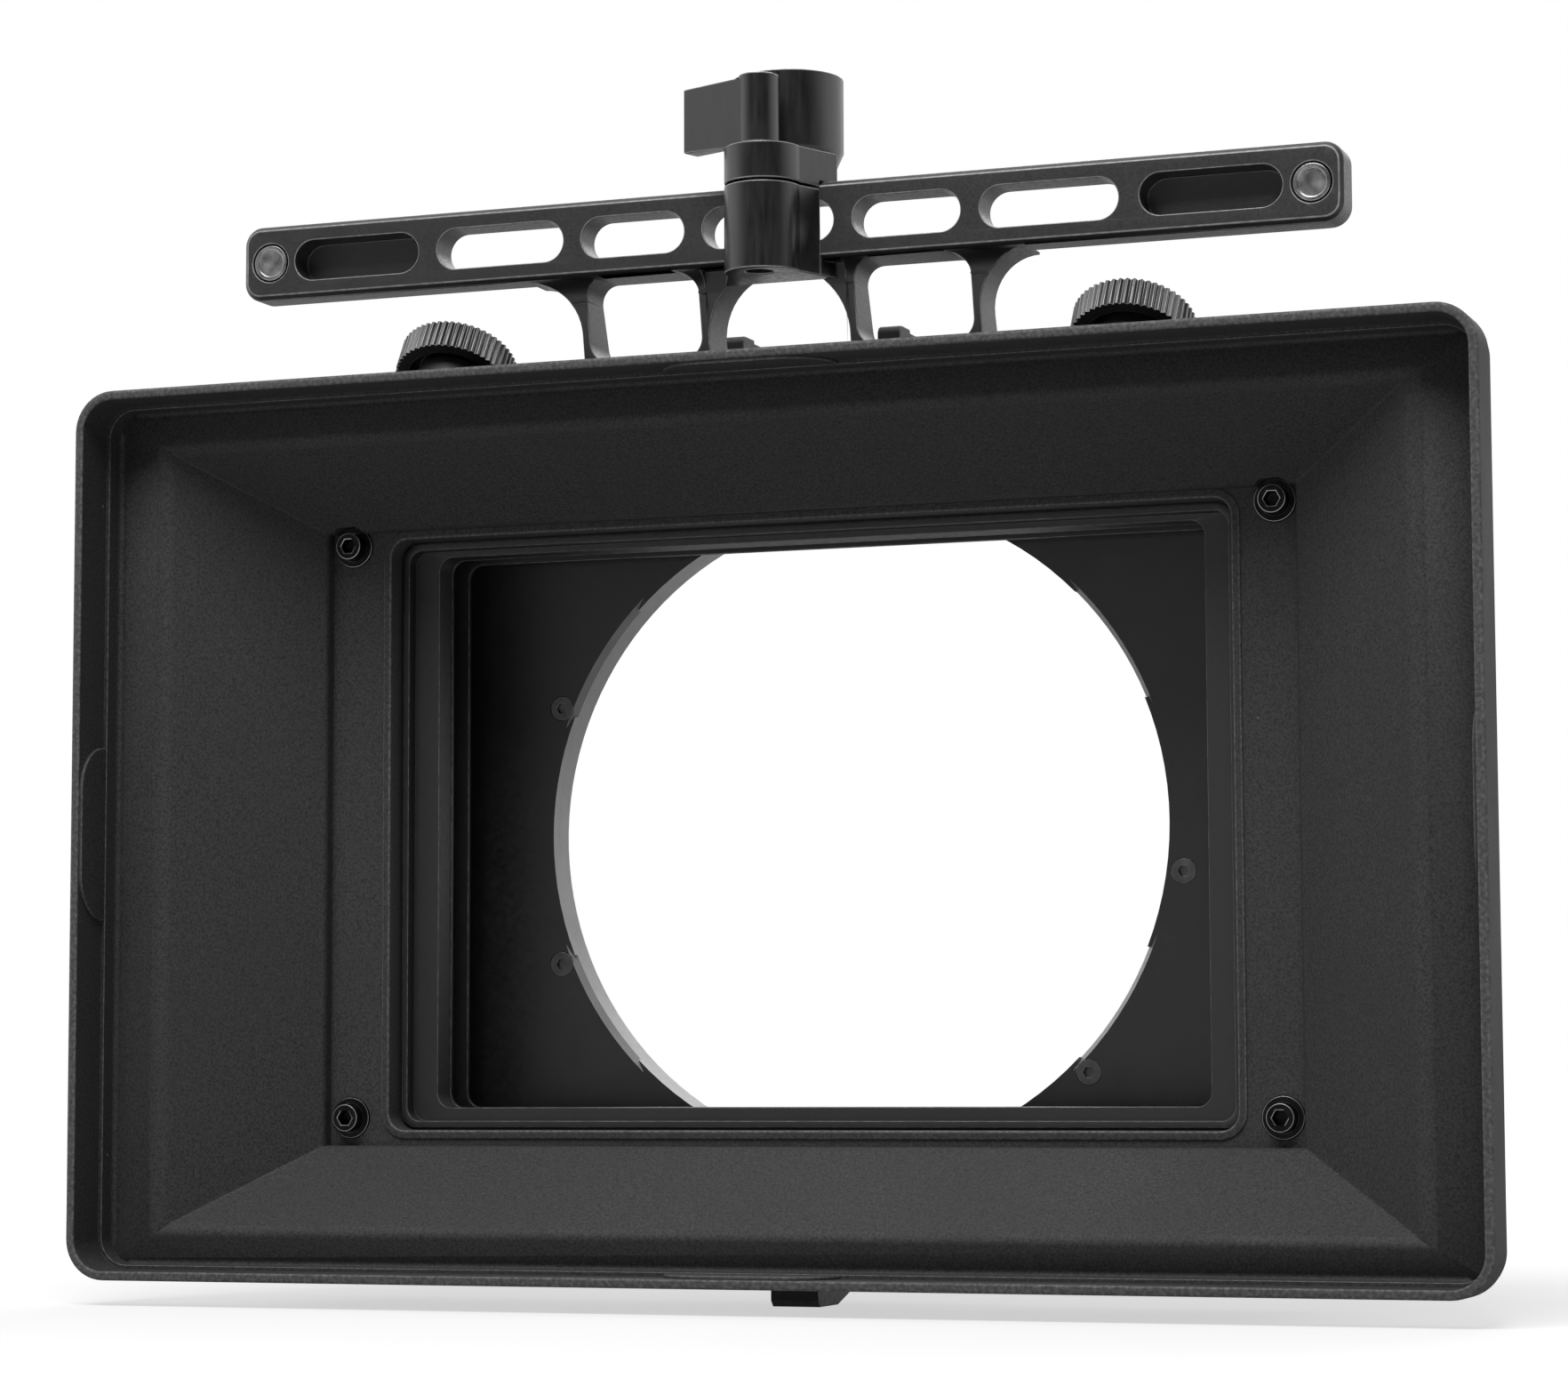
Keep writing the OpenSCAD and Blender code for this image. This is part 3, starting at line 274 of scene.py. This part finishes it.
def inside_rim(edge, inset=LIP_WALL):
    """Whether an edge lies within the rim's outline by this inset."""
    reach = inset - 2 * SLACK
    spots = [vertex.co / MM for vertex in edge.verts]
    return all(abs(p.x) < RIM_HALF - reach and reach - RIM_BOTTOM < p.z < RIM_TOP - reach for p in spots)


def moulded_round(edge):
    """Width of the mould's soft rounds inside the hood: crest, gutter, mitres and throat."""
    near, far = sorted(vertex.co.y / MM + ORIGIN_DEPTH for vertex in edge.verts)
    if not inside_rim(edge, WELL_INSIDE) or near < CREST_DEPTH - 2 * SLACK or far > FLANGE_DEPTH + SLACK:
        return 0.0
    if far < CREST_DEPTH + SLACK:
        return CREST_ROUND * MM
    if near > GUTTER_DEPTH - SLACK and far < GUTTER_DEPTH + SLACK:
        return GUTTER_ROUND * MM
    if far < GUTTER_DEPTH + SLACK:
        return 0.0
    if near < MITRE_TOP and far > MITRE_FOOT:
        return MITRE_ROUND * MM
    if near > THROAT_DEPTH - SLACK and far < THROAT_DEPTH + SLACK:
        return THROAT_ROUND * MM
    return 0.0


BACK_FROM = GUTTER_DEPTH + 1.0
BACK_TO = 16.0
RIM_ROUND = 0.7
LIP_ROUND = 0.4
BAND_ROUND = 0.16
BACK_ROUND = 0.5
ON_FACE = 0.01
FACE_WEAR = 0.6


def handled_round(edge):
    """Width of the small rounds that hands and bags have rubbed: rim, band and back edge."""
    near, far = sorted(vertex.co.y / MM + ORIGIN_DEPTH for vertex in edge.verts)
    if far < SLACK:
        return LIP_ROUND * MM if inside_rim(edge) else RIM_ROUND * MM
    if max(abs(near - BAND_DEPTH), abs(far - BAND_DEPTH)) < SLACK and inside_rim(edge, WELL_INSIDE):
        return BAND_ROUND * MM
    if near > BACK_FROM and far < BACK_TO and not inside_rim(edge):
        return BACK_ROUND * MM
    return 0.0


def whole_rim(piece):
    """Lays the rim's flat face anew, in quads right round, so that its edges can be rounded."""
    select_none(piece)
    for face in piece.data.polygons:
        face.select = face.center.y / MM < ON_FACE - ORIGIN_DEPTH
    select_only(piece)
    bpy.ops.object.mode_set(mode="EDIT")
    bpy.ops.mesh.select_mode(type="FACE")
    bpy.ops.mesh.delete(type="FACE")
    bpy.ops.mesh.select_mode(type="EDGE")
    bpy.ops.mesh.select_non_manifold(extend=False)
    bpy.ops.mesh.bridge_edge_loops()
    bpy.ops.object.mode_set(mode="OBJECT")


hood = copy_of("sunshade_hood", "hood_shell")
whole_rim(hood)
soften(hood, CREST_ROUND * MM, MITRE_ANGLE, moulded_round, segments=6, worn=False, clamp=False)
soften(hood, RIM_ROUND * MM, width_of=handled_round, segments=4, clamp=False)

abs_black = moulded_abs()
dress(hood, abs_black, "stage", "hood_black", "sunshade_hood")
for vertex, rub in zip(hood.data.vertices, hood.data.attributes["worn"].data):
    if vertex.co.y / MM + ORIGIN_DEPTH < 2 * ON_FACE:
        rub.value = FACE_WEAR

# Rim pads: half-round pads of the hood's own moulding, one inside the band at each side's middle.
# They stiffen the thin band, and their edges are rubbed like the rim's.
PAD_LENGTH = 30.0
PAD_DEPTH = 8.1
PAD_TURN = 7.6
PAD_PROUD = 0.6
PAD_SUNK = 0.3
PAD_BACK = 0.4
PAD_ROUND = 0.3
PAD_MIDDLE = (RIM_TOP - RIM_BOTTOM) / 2
PAD_Y = PAD_BACK + PAD_DEPTH / 2 - ORIGIN_DEPTH
LIP_IN = RIM_HALF - LIP_WALL + PAD_SUNK


def flat_plate(name, width, height):
    """A flat rectangle in the XZ plane, its middle at the lens axis, facing forwards, in edit mode."""
    bpy.ops.object.select_all(action="DESELECT")
    bpy.ops.mesh.primitive_plane_add(size=1.0)
    plate = bpy.context.object
    plate.name = name
    plate.data.name = name
    bpy.ops.object.mode_set(mode="EDIT")
    bpy.ops.transform.resize(value=(width, height, 1.0))
    bpy.ops.transform.rotate(value=-math.radians(90), orient_axis="X", center_override=(0, 0, 0))
    return plate


def selected_verts(piece, wanted):
    """Selects the vertices at the wanted places, in edit mode, and nothing else."""
    bpy.ops.object.mode_set(mode="OBJECT")
    select_none(piece)
    for vertex in piece.data.vertices:
        vertex.select = wanted(vertex.co / MM)
    bpy.ops.object.mode_set(mode="EDIT")
    bpy.ops.mesh.select_mode(type="VERT")


def rim_pad():
    """One pad in the XZ plane: its rounded corners below, its straight side along the rim above."""
    pad = flat_plate("rim_pad", PAD_LENGTH * MM, PAD_DEPTH * MM)
    selected_verts(pad, lambda p: p.z < 0)
    bpy.ops.mesh.bevel(offset=PAD_TURN * MM, segments=8, affect="VERTICES")
    bpy.ops.mesh.select_all(action="SELECT")
    bpy.ops.mesh.extrude_region_move(
        TRANSFORM_OT_translate={"value": (0, -(PAD_PROUD + PAD_SUNK) * MM, 0)})
    bpy.ops.mesh.select_all(action="SELECT")
    bpy.ops.mesh.normals_make_consistent(inside=False)
    bpy.ops.object.mode_set(mode="OBJECT")
    return pad


def lay_pad(pad, name, turn, place):
    """Lays a copy of the pad on one wall of the band: tipped so that it faces inwards, then turned."""
    piece = bpy.data.objects.new(name, pad.data.copy())
    bpy.context.scene.collection.objects.link(piece)
    flat = Matrix.Rotation(math.radians(-90), 4, "X")
    turned = Matrix.Rotation(math.radians(turn), 4, "Y")
    piece.data.transform(Matrix.Translation(Vector(place) * MM) @ turned @ flat)
    return piece


pad = rim_pad()
soften(pad, PAD_ROUND * MM)
for side, turn, place in (
        ("bottom", 0, (0, PAD_Y, LIP_WALL - RIM_BOTTOM - PAD_SUNK)),
        ("top", 180, (0, PAD_Y, RIM_TOP - LIP_WALL + PAD_SUNK)),
        ("left", 90, (-LIP_IN, PAD_Y, PAD_MIDDLE)),
        ("right", -90, (LIP_IN, PAD_Y, PAD_MIDDLE))):
    dress(lay_pad(pad, "rim_pad_" + side, turn, place), abs_black, "stage", "hood_black")
bpy.data.objects.remove(pad)

# Bead round the hood's rear opening, of black ABS and moulded with the hood.
# A cloth or a filter's edge keeps rubbing it, so its crest is pale.
OPEN_W = 151.2
OPEN_H = 103.0
OPEN_Z = -0.6
OPEN_R = 3.0
BEAD_W = 1.5
BEAD_CLEAR = 0.05
BEAD_PROUD = 0.45
BEAD_SUNK = 0.3
BEAD_ROUND = 0.4


def opening_bead():
    bead = flat_plate("opening_bead", (OPEN_W + 2 * BEAD_W) * MM, (OPEN_H + 2 * BEAD_W) * MM)
    bpy.ops.mesh.select_all(action="SELECT")
    bpy.ops.mesh.bevel(offset=(OPEN_R + BEAD_W) * MM, segments=6, affect="VERTICES")
    bpy.ops.mesh.select_all(action="SELECT")
    bpy.ops.mesh.inset(thickness=(BEAD_W - BEAD_CLEAR) * MM)
    bpy.ops.mesh.delete(type="FACE")
    bpy.ops.mesh.select_all(action="SELECT")
    bpy.ops.mesh.extrude_region_move(
        TRANSFORM_OT_translate={"value": (0, -(BEAD_PROUD + BEAD_SUNK) * MM, 0)})
    bpy.ops.mesh.select_all(action="SELECT")
    bpy.ops.transform.translate(value=(0, (FLANGE_DEPTH + BEAD_SUNK - ORIGIN_DEPTH) * MM, OPEN_Z * MM))
    bpy.ops.mesh.normals_make_consistent(inside=False)
    bpy.ops.object.mode_set(mode="OBJECT")
    return bead


bead = opening_bead()
soften(bead, BEAD_ROUND * MM, segments=3)
dress(bead, abs_black, "stage", "hood_black")

# Hood screws: black oxide steel with hexagon sockets, proud of the flange at the funnel's corners.
# They hold the hood to the stage through thin collars, and their edges are painted bright as wear and
# painted highlight.
HEAD_ROUND = 0.2
COLLAR_ROUND = 0.12
STEEL_BLOTCH = 2.0


def steel(name, low, high, rough, worn_and_highlight_code=None, rubbed=0.3):
    """Turned steel or bare aluminium, a full metal, with faint blotches in its tone and gloss."""
    material = blank_material(name)
    place = add_node(material, "ShaderNodeTexCoord").outputs["Object"]
    cloud = add_node(material, "ShaderNodeTexNoise", {"Scale": 1000 / STEEL_BLOTCH, "Detail": 4.0},
                     {"Vector": place})
    toned = add_node(material, "ShaderNodeValToRGB", links={"Fac": cloud.outputs["Fac"]},
                     stops=[(0.3, linear(low)), (0.7, linear(high))])
    grey = toned.outputs["Color"]
    if worn_and_highlight_code:
        bared_and_highlit = add_node(material, "ShaderNodeMix", {MIX_SECOND: linear(worn_and_highlight_code)},
                         {0: worn_and_highlit_edges(material, 0.9, rubbed), MIX_FIRST: grey}, data_type="RGBA")
        grey = bared_and_highlit.outputs[MIX_RESULT]
    gloss = add_node(material, "ShaderNodeValToRGB", links={"Fac": cloud.outputs["Fac"]},
                     stops=[(0.3, rough - 0.06), (0.7, rough + 0.08)])
    shader = add_node(material, "ShaderNodeBsdfPrincipled", {"Metallic": 1.0},
                      {"Base Color": grey, "Roughness": gloss.outputs["Color"]})
    add_node(material, "ShaderNodeOutputMaterial", links={"Surface": shader.outputs["BSDF"]})
    return material


oxide_steel = steel("black oxide steel", "#232324", "#323234", rough=0.38, worn_and_highlight_code="#e4e4e6", rubbed=0.9)
for node, name, width in (("hood_screws", "hood_screw_heads", HEAD_ROUND),
                          ("hood_collars", "hood_screw_collars", COLLAR_ROUND)):
    piece = copy_of(node, name)
    soften(piece, width * MM, clamp=False)
    dress(piece, oxide_steel, "stage", "screw_black", node)

# Filter stage: milled front frame, side rails and bottom rail in matt black anodised aluminium.
# The frame's raised ring shows through the hood with a thin edge painted pale, as wear and painted
# highlight.
STAGE_ROUND = 0.14
ANODISED_BLOTCH = 6.25


def anodised(name, low, high, rough, wear_and_highlight, worn_and_highlight_code="#8d8d90", rubbed=0.3, marks_per_mm=(1.0, 1.0, 1.0)):
    """Dyed anodised aluminium: a glassy oxide skin over fine machining marks, its edges painted pale for
    wear and painted highlight.
    The real marks are too fine for the view, so they are drawn 0.5 to 1 mm apart."""
    material = blank_material(name)
    place = add_node(material, "ShaderNodeTexCoord").outputs["Object"]
    stretched = add_node(material, "ShaderNodeMapping", {"Scale": marks_per_mm}, {"Vector": place})
    marks = add_node(material, "ShaderNodeTexNoise", {"Scale": 1000.0, "Detail": 4.0},
                     {"Vector": stretched.outputs["Vector"]})
    cloud = add_node(material, "ShaderNodeTexNoise", {"Scale": 1000 / ANODISED_BLOTCH, "Detail": 4.0},
                     {"Vector": place})
    dyed = add_node(material, "ShaderNodeValToRGB", links={"Fac": cloud.outputs["Fac"]},
                    stops=[(0.3, linear(low)), (0.7, linear(high))])
    share = add_node(material, "ShaderNodeMath", {1: wear_and_highlight}, {0: worn_and_highlit_edges(material, 1.4, rubbed)},
                     operation="MULTIPLY")
    bared_and_highlit = add_node(material, "ShaderNodeMix", {MIX_SECOND: linear(worn_and_highlight_code)},
                     {0: share.outputs["Value"], MIX_FIRST: dyed.outputs["Color"]}, data_type="RGBA")
    gloss = add_node(material, "ShaderNodeValToRGB", links={"Fac": marks.outputs["Fac"]},
                     stops=[(0.25, rough - 0.07), (0.75, rough + 0.09)])
    bump = add_node(material, "ShaderNodeBump", {"Strength": 0.25, "Distance": 0.02 * MM},
                    {"Height": marks.outputs["Fac"]})
    shader = add_node(material, "ShaderNodeBsdfPrincipled", {"IOR": 1.75},
                      {"Base Color": bared_and_highlit.outputs[MIX_RESULT], "Roughness": gloss.outputs["Color"],
                       "Normal": bump.outputs["Normal"]})
    add_node(material, "ShaderNodeOutputMaterial", links={"Surface": shader.outputs["BSDF"]})
    return material


def cut_bent_faces(piece):
    """Cuts the many-sided faces into well-shaped triangles, as some of them lie round a hole."""
    select_only(piece)
    bpy.ops.object.mode_set(mode="EDIT")
    bpy.ops.mesh.select_all(action="SELECT")
    bpy.ops.mesh.quads_convert_to_tris(ngon_method="BEAUTY")
    bpy.ops.object.mode_set(mode="OBJECT")


stage_black = anodised("matt black anodised aluminium", "#121212", "#1a1a1b", rough=0.56, wear_and_highlight=0.7,
                       worn_and_highlight_code="#a0a0a3")
for node, name in (("front_frame", "front_frame_plate"), ("rail_left", "side_rail_left"),
                   ("rail_right", "side_rail_right"), ("bottom_rail", "bottom_rail_bar")):
    piece = copy_of(node, name)
    soften(piece, STAGE_ROUND * MM, clamp=False)
    cut_bent_faces(piece)
    dress(piece, stage_black, "stage", "frame_black", node)

# Filter trays: two frames milled from aluminium, which slide up out of the stage by finned pulls.
# A spring leaf in each holds the filter, and ball plungers in the rails click into the sides.
TRAY_ROUND = 0.14
PULL_ROUND = 0.3
LEAF_ROUND = 0.1
PLUNGER_ROUND = 0.4
# The trays' black is painted darker than the stage's as painted shade, and their edges pale as wear and
# painted highlight.
tray_black = anodised("matt black anodised tray", "#0b0b0b", "#121212", rough=0.54, wear_and_highlight=0.9,
                      worn_and_highlight_code="#a6a6a9")
spring = steel("spring steel", "#a0a0a2", "#bcbcbe", rough=0.25)
for end in ("front", "rear"):
    tray = copy_of("tray_" + end, "filter_tray_" + end)
    soften(tray, TRAY_ROUND * MM, clamp=False)
    cut_bent_faces(tray)
    dress(tray, tray_black, end + "_tray", "tray_black", "tray_" + end)
    pull = copy_of("pull_" + end, "tray_pull_" + end)
    soften(pull, PULL_ROUND * MM)
    dress(pull, stage_black, end + "_tray", "frame_black", "pull_" + end)
    leaf = copy_of("filter_clip_" + end, "filter_leaf_" + end)
    soften(leaf, LEAF_ROUND * MM)
    dress(leaf, spring, end + "_tray", "spring_steel", "filter_clip_" + end)
plungers = copy_of("tray_plungers", "ball_plungers")
soften(plungers, PLUNGER_ROUND * MM)
dress(plungers, spring, "stage", "spring_steel", "tray_plungers")

# Back plate and split clamp ring of satin anodised aluminium: the plate closes the stage, and the
# ring grips the lens front. Small countersunk screws join them, and one long screw with a fluted
# knob closes the ring. Their common bore is painted light grey: a painted reflection of the white
# surround.
BORE_REACH = 58.6
ACROSS = 0.9  # a face that leans less than this along the lens axis belongs to the bore's wall
plate_black = anodised("satin black anodised plate", "#151515", "#202020", rough=0.4, wear_and_highlight=0.4)
ring_black = anodised("satin black anodised ring", "#202021", "#2c2c2d", rough=0.42, wear_and_highlight=0.6)
bore_painted_reflection = anodised("bore painted light grey", "#a6a6a8", "#b6b6b8", rough=0.33, wear_and_highlight=0.2)
plain_steel = steel("plain steel", "#8e8e90", "#a8a8aa", rough=0.32)
# The ring screws' edges are painted near white, as wear and painted highlight together.
grey_steel = steel("grey oxide steel", "#626264", "#767678", rough=0.4, worn_and_highlight_code="#e4e4e6", rubbed=0.8)
for node, name, width, material, body, slot in (
        ("back_plate", "rear_plate", 0.2, plate_black, "stage", "frame_black"),
        ("stage_bolts", "stage_bolt_set", 0.3, plain_steel, "stage", "screw_steel"),
        ("clamp_ring", "lens_clamp_ring", 0.25, ring_black, "stage", "anodised_black"),
        ("ring_screws", "ring_screw_set", 0.15, grey_steel, "stage", "screw_steel"),
        ("clamp_screw", "clamping_screw", 0.3, plain_steel, "ring_knob", "screw_steel"),
        ("clamp_knob", "clamping_knob", 0.3, stage_black, "ring_knob", "knurled_black")):
    piece = copy_of(node, name)
    soften(piece, width * MM)
    dress(piece, material, body, slot, node)
# The bore's wall takes the light grey that paints in a reflection of the surround.
for name in ("rear_plate", "lens_clamp_ring"):
    piece = bpy.data.objects[name]
    piece.data.materials.append(bore_painted_reflection)
    for face in piece.data.polygons:
        in_bore = math.hypot(face.center.x, face.center.z) < BORE_REACH * MM
        if in_bore and abs(face.normal.y) < ACROSS:
            face.material_index = 1

# Top bar with its bracket: one milled piece of satin black anodised aluminium, screwed to the stage.
# Its slots take accessory screws, and silver caps close the ends.
BAR_HALF = 97.0
BAR_MARGIN = 1.5
BAR_CHAMFER = 0.8
BAR_ROUND = 0.24
BAR_SCREW_ROUND = 0.25
CAP_ROUND = 0.15
# The bar's rounded edges are painted pale, as wear and painted highlight together.
satin_black_highlit_edges = anodised("satin black anodised aluminium", "#202021", "#2e2e30", rough=0.42, wear_and_highlight=1.0,
                       worn_and_highlight_code="#cfcfd2", rubbed=0.6, marks_per_mm=(2.0, 2.0, 2.0))
bar = copy_of("bar_bracket", "slotted_bar")
bar_front = min(vertex.co.y for vertex in bar.data.vertices) + SLACK * MM
bar_faces = [vertex.co.z for vertex in bar.data.vertices if vertex.co.y < bar_front]
bar_low = min(bar_faces) + BAR_MARGIN * MM
bar_high = max(bar_faces) - BAR_MARGIN * MM


def front_outline(edge):
    """Chamfers only the outline of the bar's front face, not its slots, pockets and cap seats."""
    middle = (edge.verts[0].co + edge.verts[1].co) / 2
    on_front = all(vertex.co.y < bar_front for vertex in edge.verts)
    outer = not bar_low <= middle.z <= bar_high or abs(middle.x) > BAR_HALF * MM
    return BAR_CHAMFER * MM if on_front and outer else 0.0


soften(bar, BAR_CHAMFER * MM, width_of=front_outline, segments=1, worn=False)
soften(bar, BAR_ROUND * MM, clamp=False)
cut_bent_faces(bar)
dress(bar, satin_black_highlit_edges, "stage", "anodised_black", "bar_bracket")
bar_screws = copy_of("bracket_screws", "bracket_screw_set")
soften(bar_screws, BAR_SCREW_ROUND * MM)
dress(bar_screws, plain_steel, "stage", "screw_steel", "bracket_screws")
cap_metal = steel("turned bright aluminium", "#b4b4b6", "#cfcfd1", rough=0.3)
caps = copy_of("end_caps", "bar_end_caps")
soften(caps, CAP_ROUND * MM)
dress(caps, cap_metal, "stage", "cap_silver", "end_caps")

# Lever clamp on the bar: a hook under the bar, an upper jaw with a round socket behind it,
# and a winged lever on the clamping screw, all in satin black anodised aluminium.
# Its rounded edges are painted pale, as wear and painted highlight together.
clamp_black_highlit_edges = anodised("satin black anodised clamp", "#131314", "#1f1f21", rough=0.31, wear_and_highlight=1.0,
                       worn_and_highlight_code="#d0d0d3", rubbed=0.7, marks_per_mm=(1.0, 1.0, 0.12))
for node, name, width, material, body, slot in (
        ("jaw_body", "clamp_hook", 0.3, clamp_black_highlit_edges, "stage", "anodised_black"),
        ("jaw_top", "clamp_jaw_and_socket", 0.3, clamp_black_highlit_edges, "clamp_jaw", "anodised_black"),
        ("clamp_lever", "clamp_wing_lever", 0.35, clamp_black_highlit_edges, "lever", "anodised_black"),
        ("jaw_screw", "clamp_screw_shank", 0.3, plain_steel, "lever", "screw_steel")):
    piece = copy_of(node, name)
    soften(piece, width * MM, clamp=False)
    cut_bent_faces(piece)
    dress(piece, material, body, slot, node)

# Flag wheels: knurled aluminium thumb wheels on studs, with posts and loose washers under them.
# The left one is unscrewed a little, as photographed.
# The knurl's ridges are painted near white: worn bare metal and painted highlight together.
knurl_painted_highlights = anodised("black anodised knurling", "#1b1b1c", "#29292a", rough=0.34, wear_and_highlight=1.0,
                   worn_and_highlight_code="#ececee", rubbed=0.8, marks_per_mm=(2.0, 2.0, 2.0))
for side in ("left", "right"):
    for node, name, width, material, body, slot in (
            ("flag_post_", "wheel_post_", 0.25, stage_black, "stage", "anodised_black"),
            ("flag_washer_", "wheel_washer_", 0.15, plain_steel, side + "_washer", "screw_steel"),
            ("thumb_wheel_", "knurled_wheel_", 0.09, knurl_painted_highlights, side + "_wheel", "knurled_black")):
        piece = copy_of(node + side, name + side)
        soften(piece, width * MM, clamp=False)
        cut_bent_faces(piece)
        dress(piece, material, body, slot, node + side)

# Support foot: a block of milled aluminium under the stage, with a tapped hole below.
# Two steel screws hold it to the bottom rail.
FOOT_ROUND = 0.35
FOOT_SCREW_ROUND = 0.2
foot = copy_of("support_foot", "support_foot_block")
soften(foot, FOOT_ROUND * MM)
dress(foot, stage_black, "stage", "frame_black", "support_foot")
foot_screws = copy_of("foot_screws", "foot_screw_set")
soften(foot_screws, FOOT_SCREW_ROUND * MM)
dress(foot_screws, plain_steel, "stage", "screw_steel", "foot_screws")

# Studio: a pale floor under the foot and a white surround that only the camera and reflections see.
# The floor keeps the object's soft shadow.
FLOOR_Z = -81.5
FLOOR_SIZE = 12.0


def floor_paper():
    """Pale grey paper whose glow turns it white away from the object, further off in reflections."""
    material = blank_material("pale studio paper")
    path = add_node(material, "ShaderNodeLightPath")
    paper = add_node(material, "ShaderNodeBsdfDiffuse", {"Color": linear("#bfbfbf")})
    place = add_node(material, "ShaderNodeTexCoord").outputs["Object"]
    away = add_node(material, "ShaderNodeVectorMath", operation="LENGTH", links={0: place})
    direct = add_node(material, "ShaderNodeValToRGB", links={"Fac": away.outputs["Value"]},
                      stops=[(0.08, 0.6), (0.55, 1.0)])
    far = add_node(material, "ShaderNodeMath", {1: 0.4}, {0: away.outputs["Value"]}, operation="MULTIPLY")
    mirrored = add_node(material, "ShaderNodeValToRGB", links={"Fac": far.outputs["Value"]},
                        stops=[(0.1, 0.12), (0.9, 1.0)])
    strength = add_node(material, "ShaderNodeMix", data_type="RGBA",
                        links={0: path.outputs["Is Glossy Ray"], MIX_FIRST: direct.outputs["Color"],
                               MIX_SECOND: mirrored.outputs["Color"]})
    lift = add_node(material, "ShaderNodeEmission", {"Color": [1, 1, 1, 1]},
                    {"Strength": strength.outputs[MIX_RESULT]})
    through = add_node(material, "ShaderNodeMath", operation="MAXIMUM",
                       links={0: path.outputs["Is Glossy Ray"], 1: path.outputs["Is Transmission Ray"]})
    seen = add_node(material, "ShaderNodeMath", operation="MAXIMUM",
                    links={0: path.outputs["Is Camera Ray"], 1: through.outputs["Value"]})
    dark = add_node(material, "ShaderNodeEmission", {"Strength": 0.0})
    shown = add_node(material, "ShaderNodeMixShader",
                     links={0: seen.outputs["Value"], 1: dark.outputs["Emission"],
                            2: lift.outputs["Emission"]})
    total = add_node(material, "ShaderNodeAddShader",
                     links={0: paper.outputs["BSDF"], 1: shown.outputs["Shader"]})
    add_node(material, "ShaderNodeOutputMaterial", links={"Surface": total.outputs["Shader"]})
    return material


bpy.ops.object.select_all(action="DESELECT")
bpy.ops.mesh.primitive_plane_add(size=FLOOR_SIZE, location=(0, 0, FLOOR_Z * MM))
floor = bpy.context.object
floor.name = "studio_floor"
floor.data.materials.append(floor_paper())

# The surround is white behind and beside the object, and dim from where the photographer stands.
DIM_SIDE = (0.33, -0.94, 0.0)
FILL = 0.07
world = bpy.data.worlds.new("studio_surround")
bpy.context.scene.world = world
world.use_nodes = True
world.node_tree.nodes.clear()
path = add_node(world, "ShaderNodeLightPath")
seen = add_node(world, "ShaderNodeMath", operation="MAXIMUM",
                links={0: path.outputs["Is Camera Ray"], 1: path.outputs["Is Transmission Ray"]})
direction = add_node(world, "ShaderNodeTexCoord").outputs["Generated"]
toward = add_node(world, "ShaderNodeVectorMath", {1: DIM_SIDE}, {0: direction}, operation="DOT_PRODUCT")
white_side = add_node(world, "ShaderNodeValToRGB", links={"Fac": toward.outputs["Value"]},
                      stops=[(0.05, 1.0), (0.4, 0.45), (0.62, 0.1), (0.85, 0.03)])
mirrored = add_node(world, "ShaderNodeMix", {MIX_FIRST: [FILL, FILL, FILL, 1.0]},
                    {0: path.outputs["Is Glossy Ray"], MIX_SECOND: white_side.outputs["Color"]},
                    data_type="RGBA")
glow = add_node(world, "ShaderNodeMix", {MIX_SECOND: [1.0, 1.0, 1.0, 1.0]},
                {0: seen.outputs["Value"], MIX_FIRST: mirrored.outputs[MIX_RESULT]}, data_type="RGBA")
light = add_node(world, "ShaderNodeBackground", {"Strength": 1.0}, {"Color": glow.outputs[MIX_RESULT]})
add_node(world, "ShaderNodeOutputWorld", links={"Surface": light.outputs["Background"]})


def softbox(name, place, width, height, watts):
    """A soft rectangular lamp at a place, aimed at the middle of the lens mount."""
    data = bpy.data.lights.new(name, "AREA")
    data.shape = "RECTANGLE"
    data.size = width
    data.size_y = height
    data.energy = watts
    lamp = bpy.data.objects.new(name, data)
    lamp.location = place
    aim = Vector((0, 0, 0)) - Vector(place)
    lamp.rotation_euler = aim.to_track_quat("-Z", "Y").to_euler()
    bpy.context.scene.collection.objects.link(lamp)


softbox("key_softbox", place=(0.0, -0.9, 1.3), width=1.0, height=0.7, watts=16.5)
softbox("rear_softbox", place=(0.0, 1.2, 1.0), width=1.2, height=0.9, watts=6.0)
bpy.context.scene.view_settings.view_transform = "Standard"
